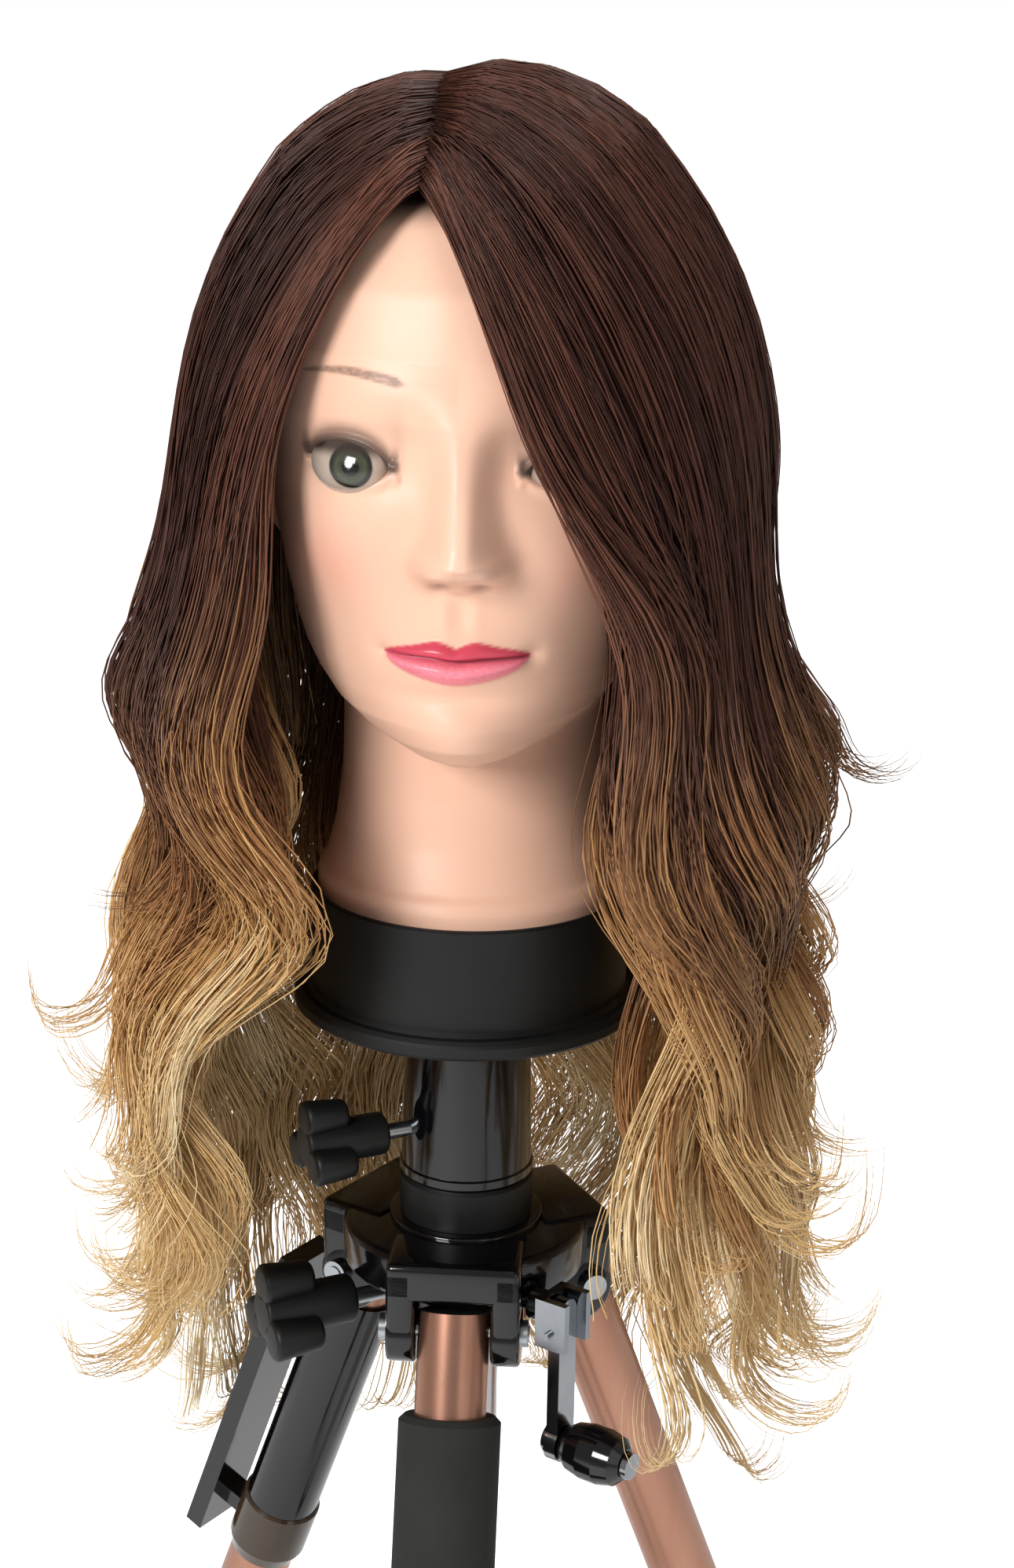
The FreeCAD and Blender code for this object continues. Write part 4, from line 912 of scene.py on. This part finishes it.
def buildKnob(name, spec):
    # a round neck, then three tapered lobes about the same axis
    azimuth, grow, height = knobShape["azimuth"], spec["grow"], -spec["drop"]
    way = (columnPoint(azimuth, 1, 0, 0) - columnPoint(azimuth, 0, 0, 0)).normalized()
    level = way.to_track_quat("Z", "Y").to_euler()
    long = spec["neck"] + spec["lobe"]
    bpy.ops.mesh.primitive_cylinder_add(
        vertices=64, radius=knobShape["neckRadius"] * grow * mm, depth=long * mm, rotation=level,
        location=columnPoint(azimuth, spec["start"] + long / 2, 0, height))
    pieces = [soften(bpy.context.object, knobShape["edge"])]
    out = knobShape["lobeOut"] * grow
    for lobe in range(knobShape["lobes"]):
        turn = math.radians(360 / knobShape["lobes"] * lobe + 90)
        bpy.ops.mesh.primitive_cone_add(
            vertices=64, radius1=knobShape["lobeTip"] * grow * mm,
            radius2=knobShape["lobeRadius"] * grow * mm, depth=spec["lobe"] * mm, rotation=level,
            location=columnPoint(azimuth, spec["start"] + spec["neck"] + spec["lobe"] / 2,
                                 out * math.cos(turn), height + out * math.sin(turn)))
        pieces.append(soften(bpy.context.object, knobShape["lobeEdge"]))
    return joined(name + "_moulding", pieces, finishes["satin_black"])


print("hub and knobs")
hubPiece = buildHub()
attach(hubPiece, "hub")
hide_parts("hub_body")
for knobName, knobSpec in knobs.items():
    knobPiece = buildKnob(knobName, knobSpec)
    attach(knobPiece, knobSpec["body"])
    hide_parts(knobName)

# Floor, light and camera. Floor and backdrop show white to the camera but light the object more softly.
stage = {
    "floorSize": 12, "white": "#FFFFFF", "floorLight": 0.12, "backdropLight": 0.3, "shown": 1.0,
    "aimOverFlange": 0.1,
}
lamps = {
    "key": {"at": (-0.85, -1.35, 1.35), "size": 0.6, "watts": 25},
    "fill": {"at": (1.3, -1.2, 1.0), "size": 1.2, "watts": 3},
    "top": {"at": (0.1, 0.2, 1.8), "size": 0.7, "watts": 9},
}
# the camera's place off the column's axis and the flange in metres, its angles in degrees
view = {
    "right": 0.086, "away": 0.946, "up": 0.364, "heading": -4.42, "pitch": 16.9, "roll": 1.0, "lens": 62.9,
}


def seenStrength(tree, low):
    # one strength for what the camera sees directly, a lower one for the light that is cast
    seen = addNode(tree, "ShaderNodeLightPath").outputs["Is Camera Ray"]
    return mapRange(tree, seen, 0, 1, low, stage["shown"])


def buildFloor():
    # white background paper, matte and evenly lit
    clearSelection()
    bpy.ops.mesh.primitive_plane_add(size=stage["floorSize"], location=(0, 0, 0))
    floor = bpy.context.object
    floor.name = "floor"
    made, tree, shader, _ = startMaterial("paperFloor", {"Roughness": 0.9})
    for key in ("Base Color", "Emission Color"):
        shader.inputs[key].default_value = hexColour(stage["white"])
    tree.links.new(seenStrength(tree, stage["floorLight"]), shader.inputs["Emission Strength"])
    floor.data.materials.append(made)


def buildWorld():
    world = bpy.data.worlds.new("studio")
    bpy.context.scene.world = world
    world.use_nodes = True
    backdrop = world.node_tree.nodes["Background"]
    backdrop.inputs["Color"].default_value = hexColour(stage["white"])
    strength = seenStrength(world.node_tree, stage["backdropLight"])
    world.node_tree.links.new(strength, backdrop.inputs["Strength"])


def buildLamp(name, lamp):
    data = bpy.data.lights.new(name, "AREA")
    data.energy = lamp["watts"]
    data.size = lamp["size"]
    light = bpy.data.objects.new(name, data)
    light.location = lamp["at"]
    aim = Vector((axisX, axisY, flangeZ + stage["aimOverFlange"]))
    light.rotation_euler = (aim - Vector(lamp["at"])).to_track_quat("-Z", "Y").to_euler()
    bpy.context.scene.collection.objects.link(light)


def buildCamera():
    cameraData = bpy.data.cameras.new("camera")
    cameraData.lens = view["lens"]
    camera = bpy.data.objects.new("camera", cameraData)
    heading, pitch, roll = (math.radians(view[key]) for key in ("heading", "pitch", "roll"))
    level = math.cos(pitch)
    forward = Vector((math.sin(heading) * level, math.cos(heading) * level, -math.sin(pitch)))
    camera.location = (axisX + view["right"], axisY - view["away"], flangeZ + view["up"])
    turned = forward.to_track_quat("-Z", "Y").to_matrix()
    camera.rotation_euler = (turned @ Matrix.Rotation(roll, 3, "Z")).to_euler()
    bpy.context.scene.collection.objects.link(camera)
    bpy.context.scene.camera = camera


print("stage")
buildFloor()
buildWorld()
bpy.context.scene.view_settings.view_transform = "Standard"
for name, lamp in lamps.items():
    buildLamp(name, lamp)
buildCamera()

bpy.context.view_layer.update()
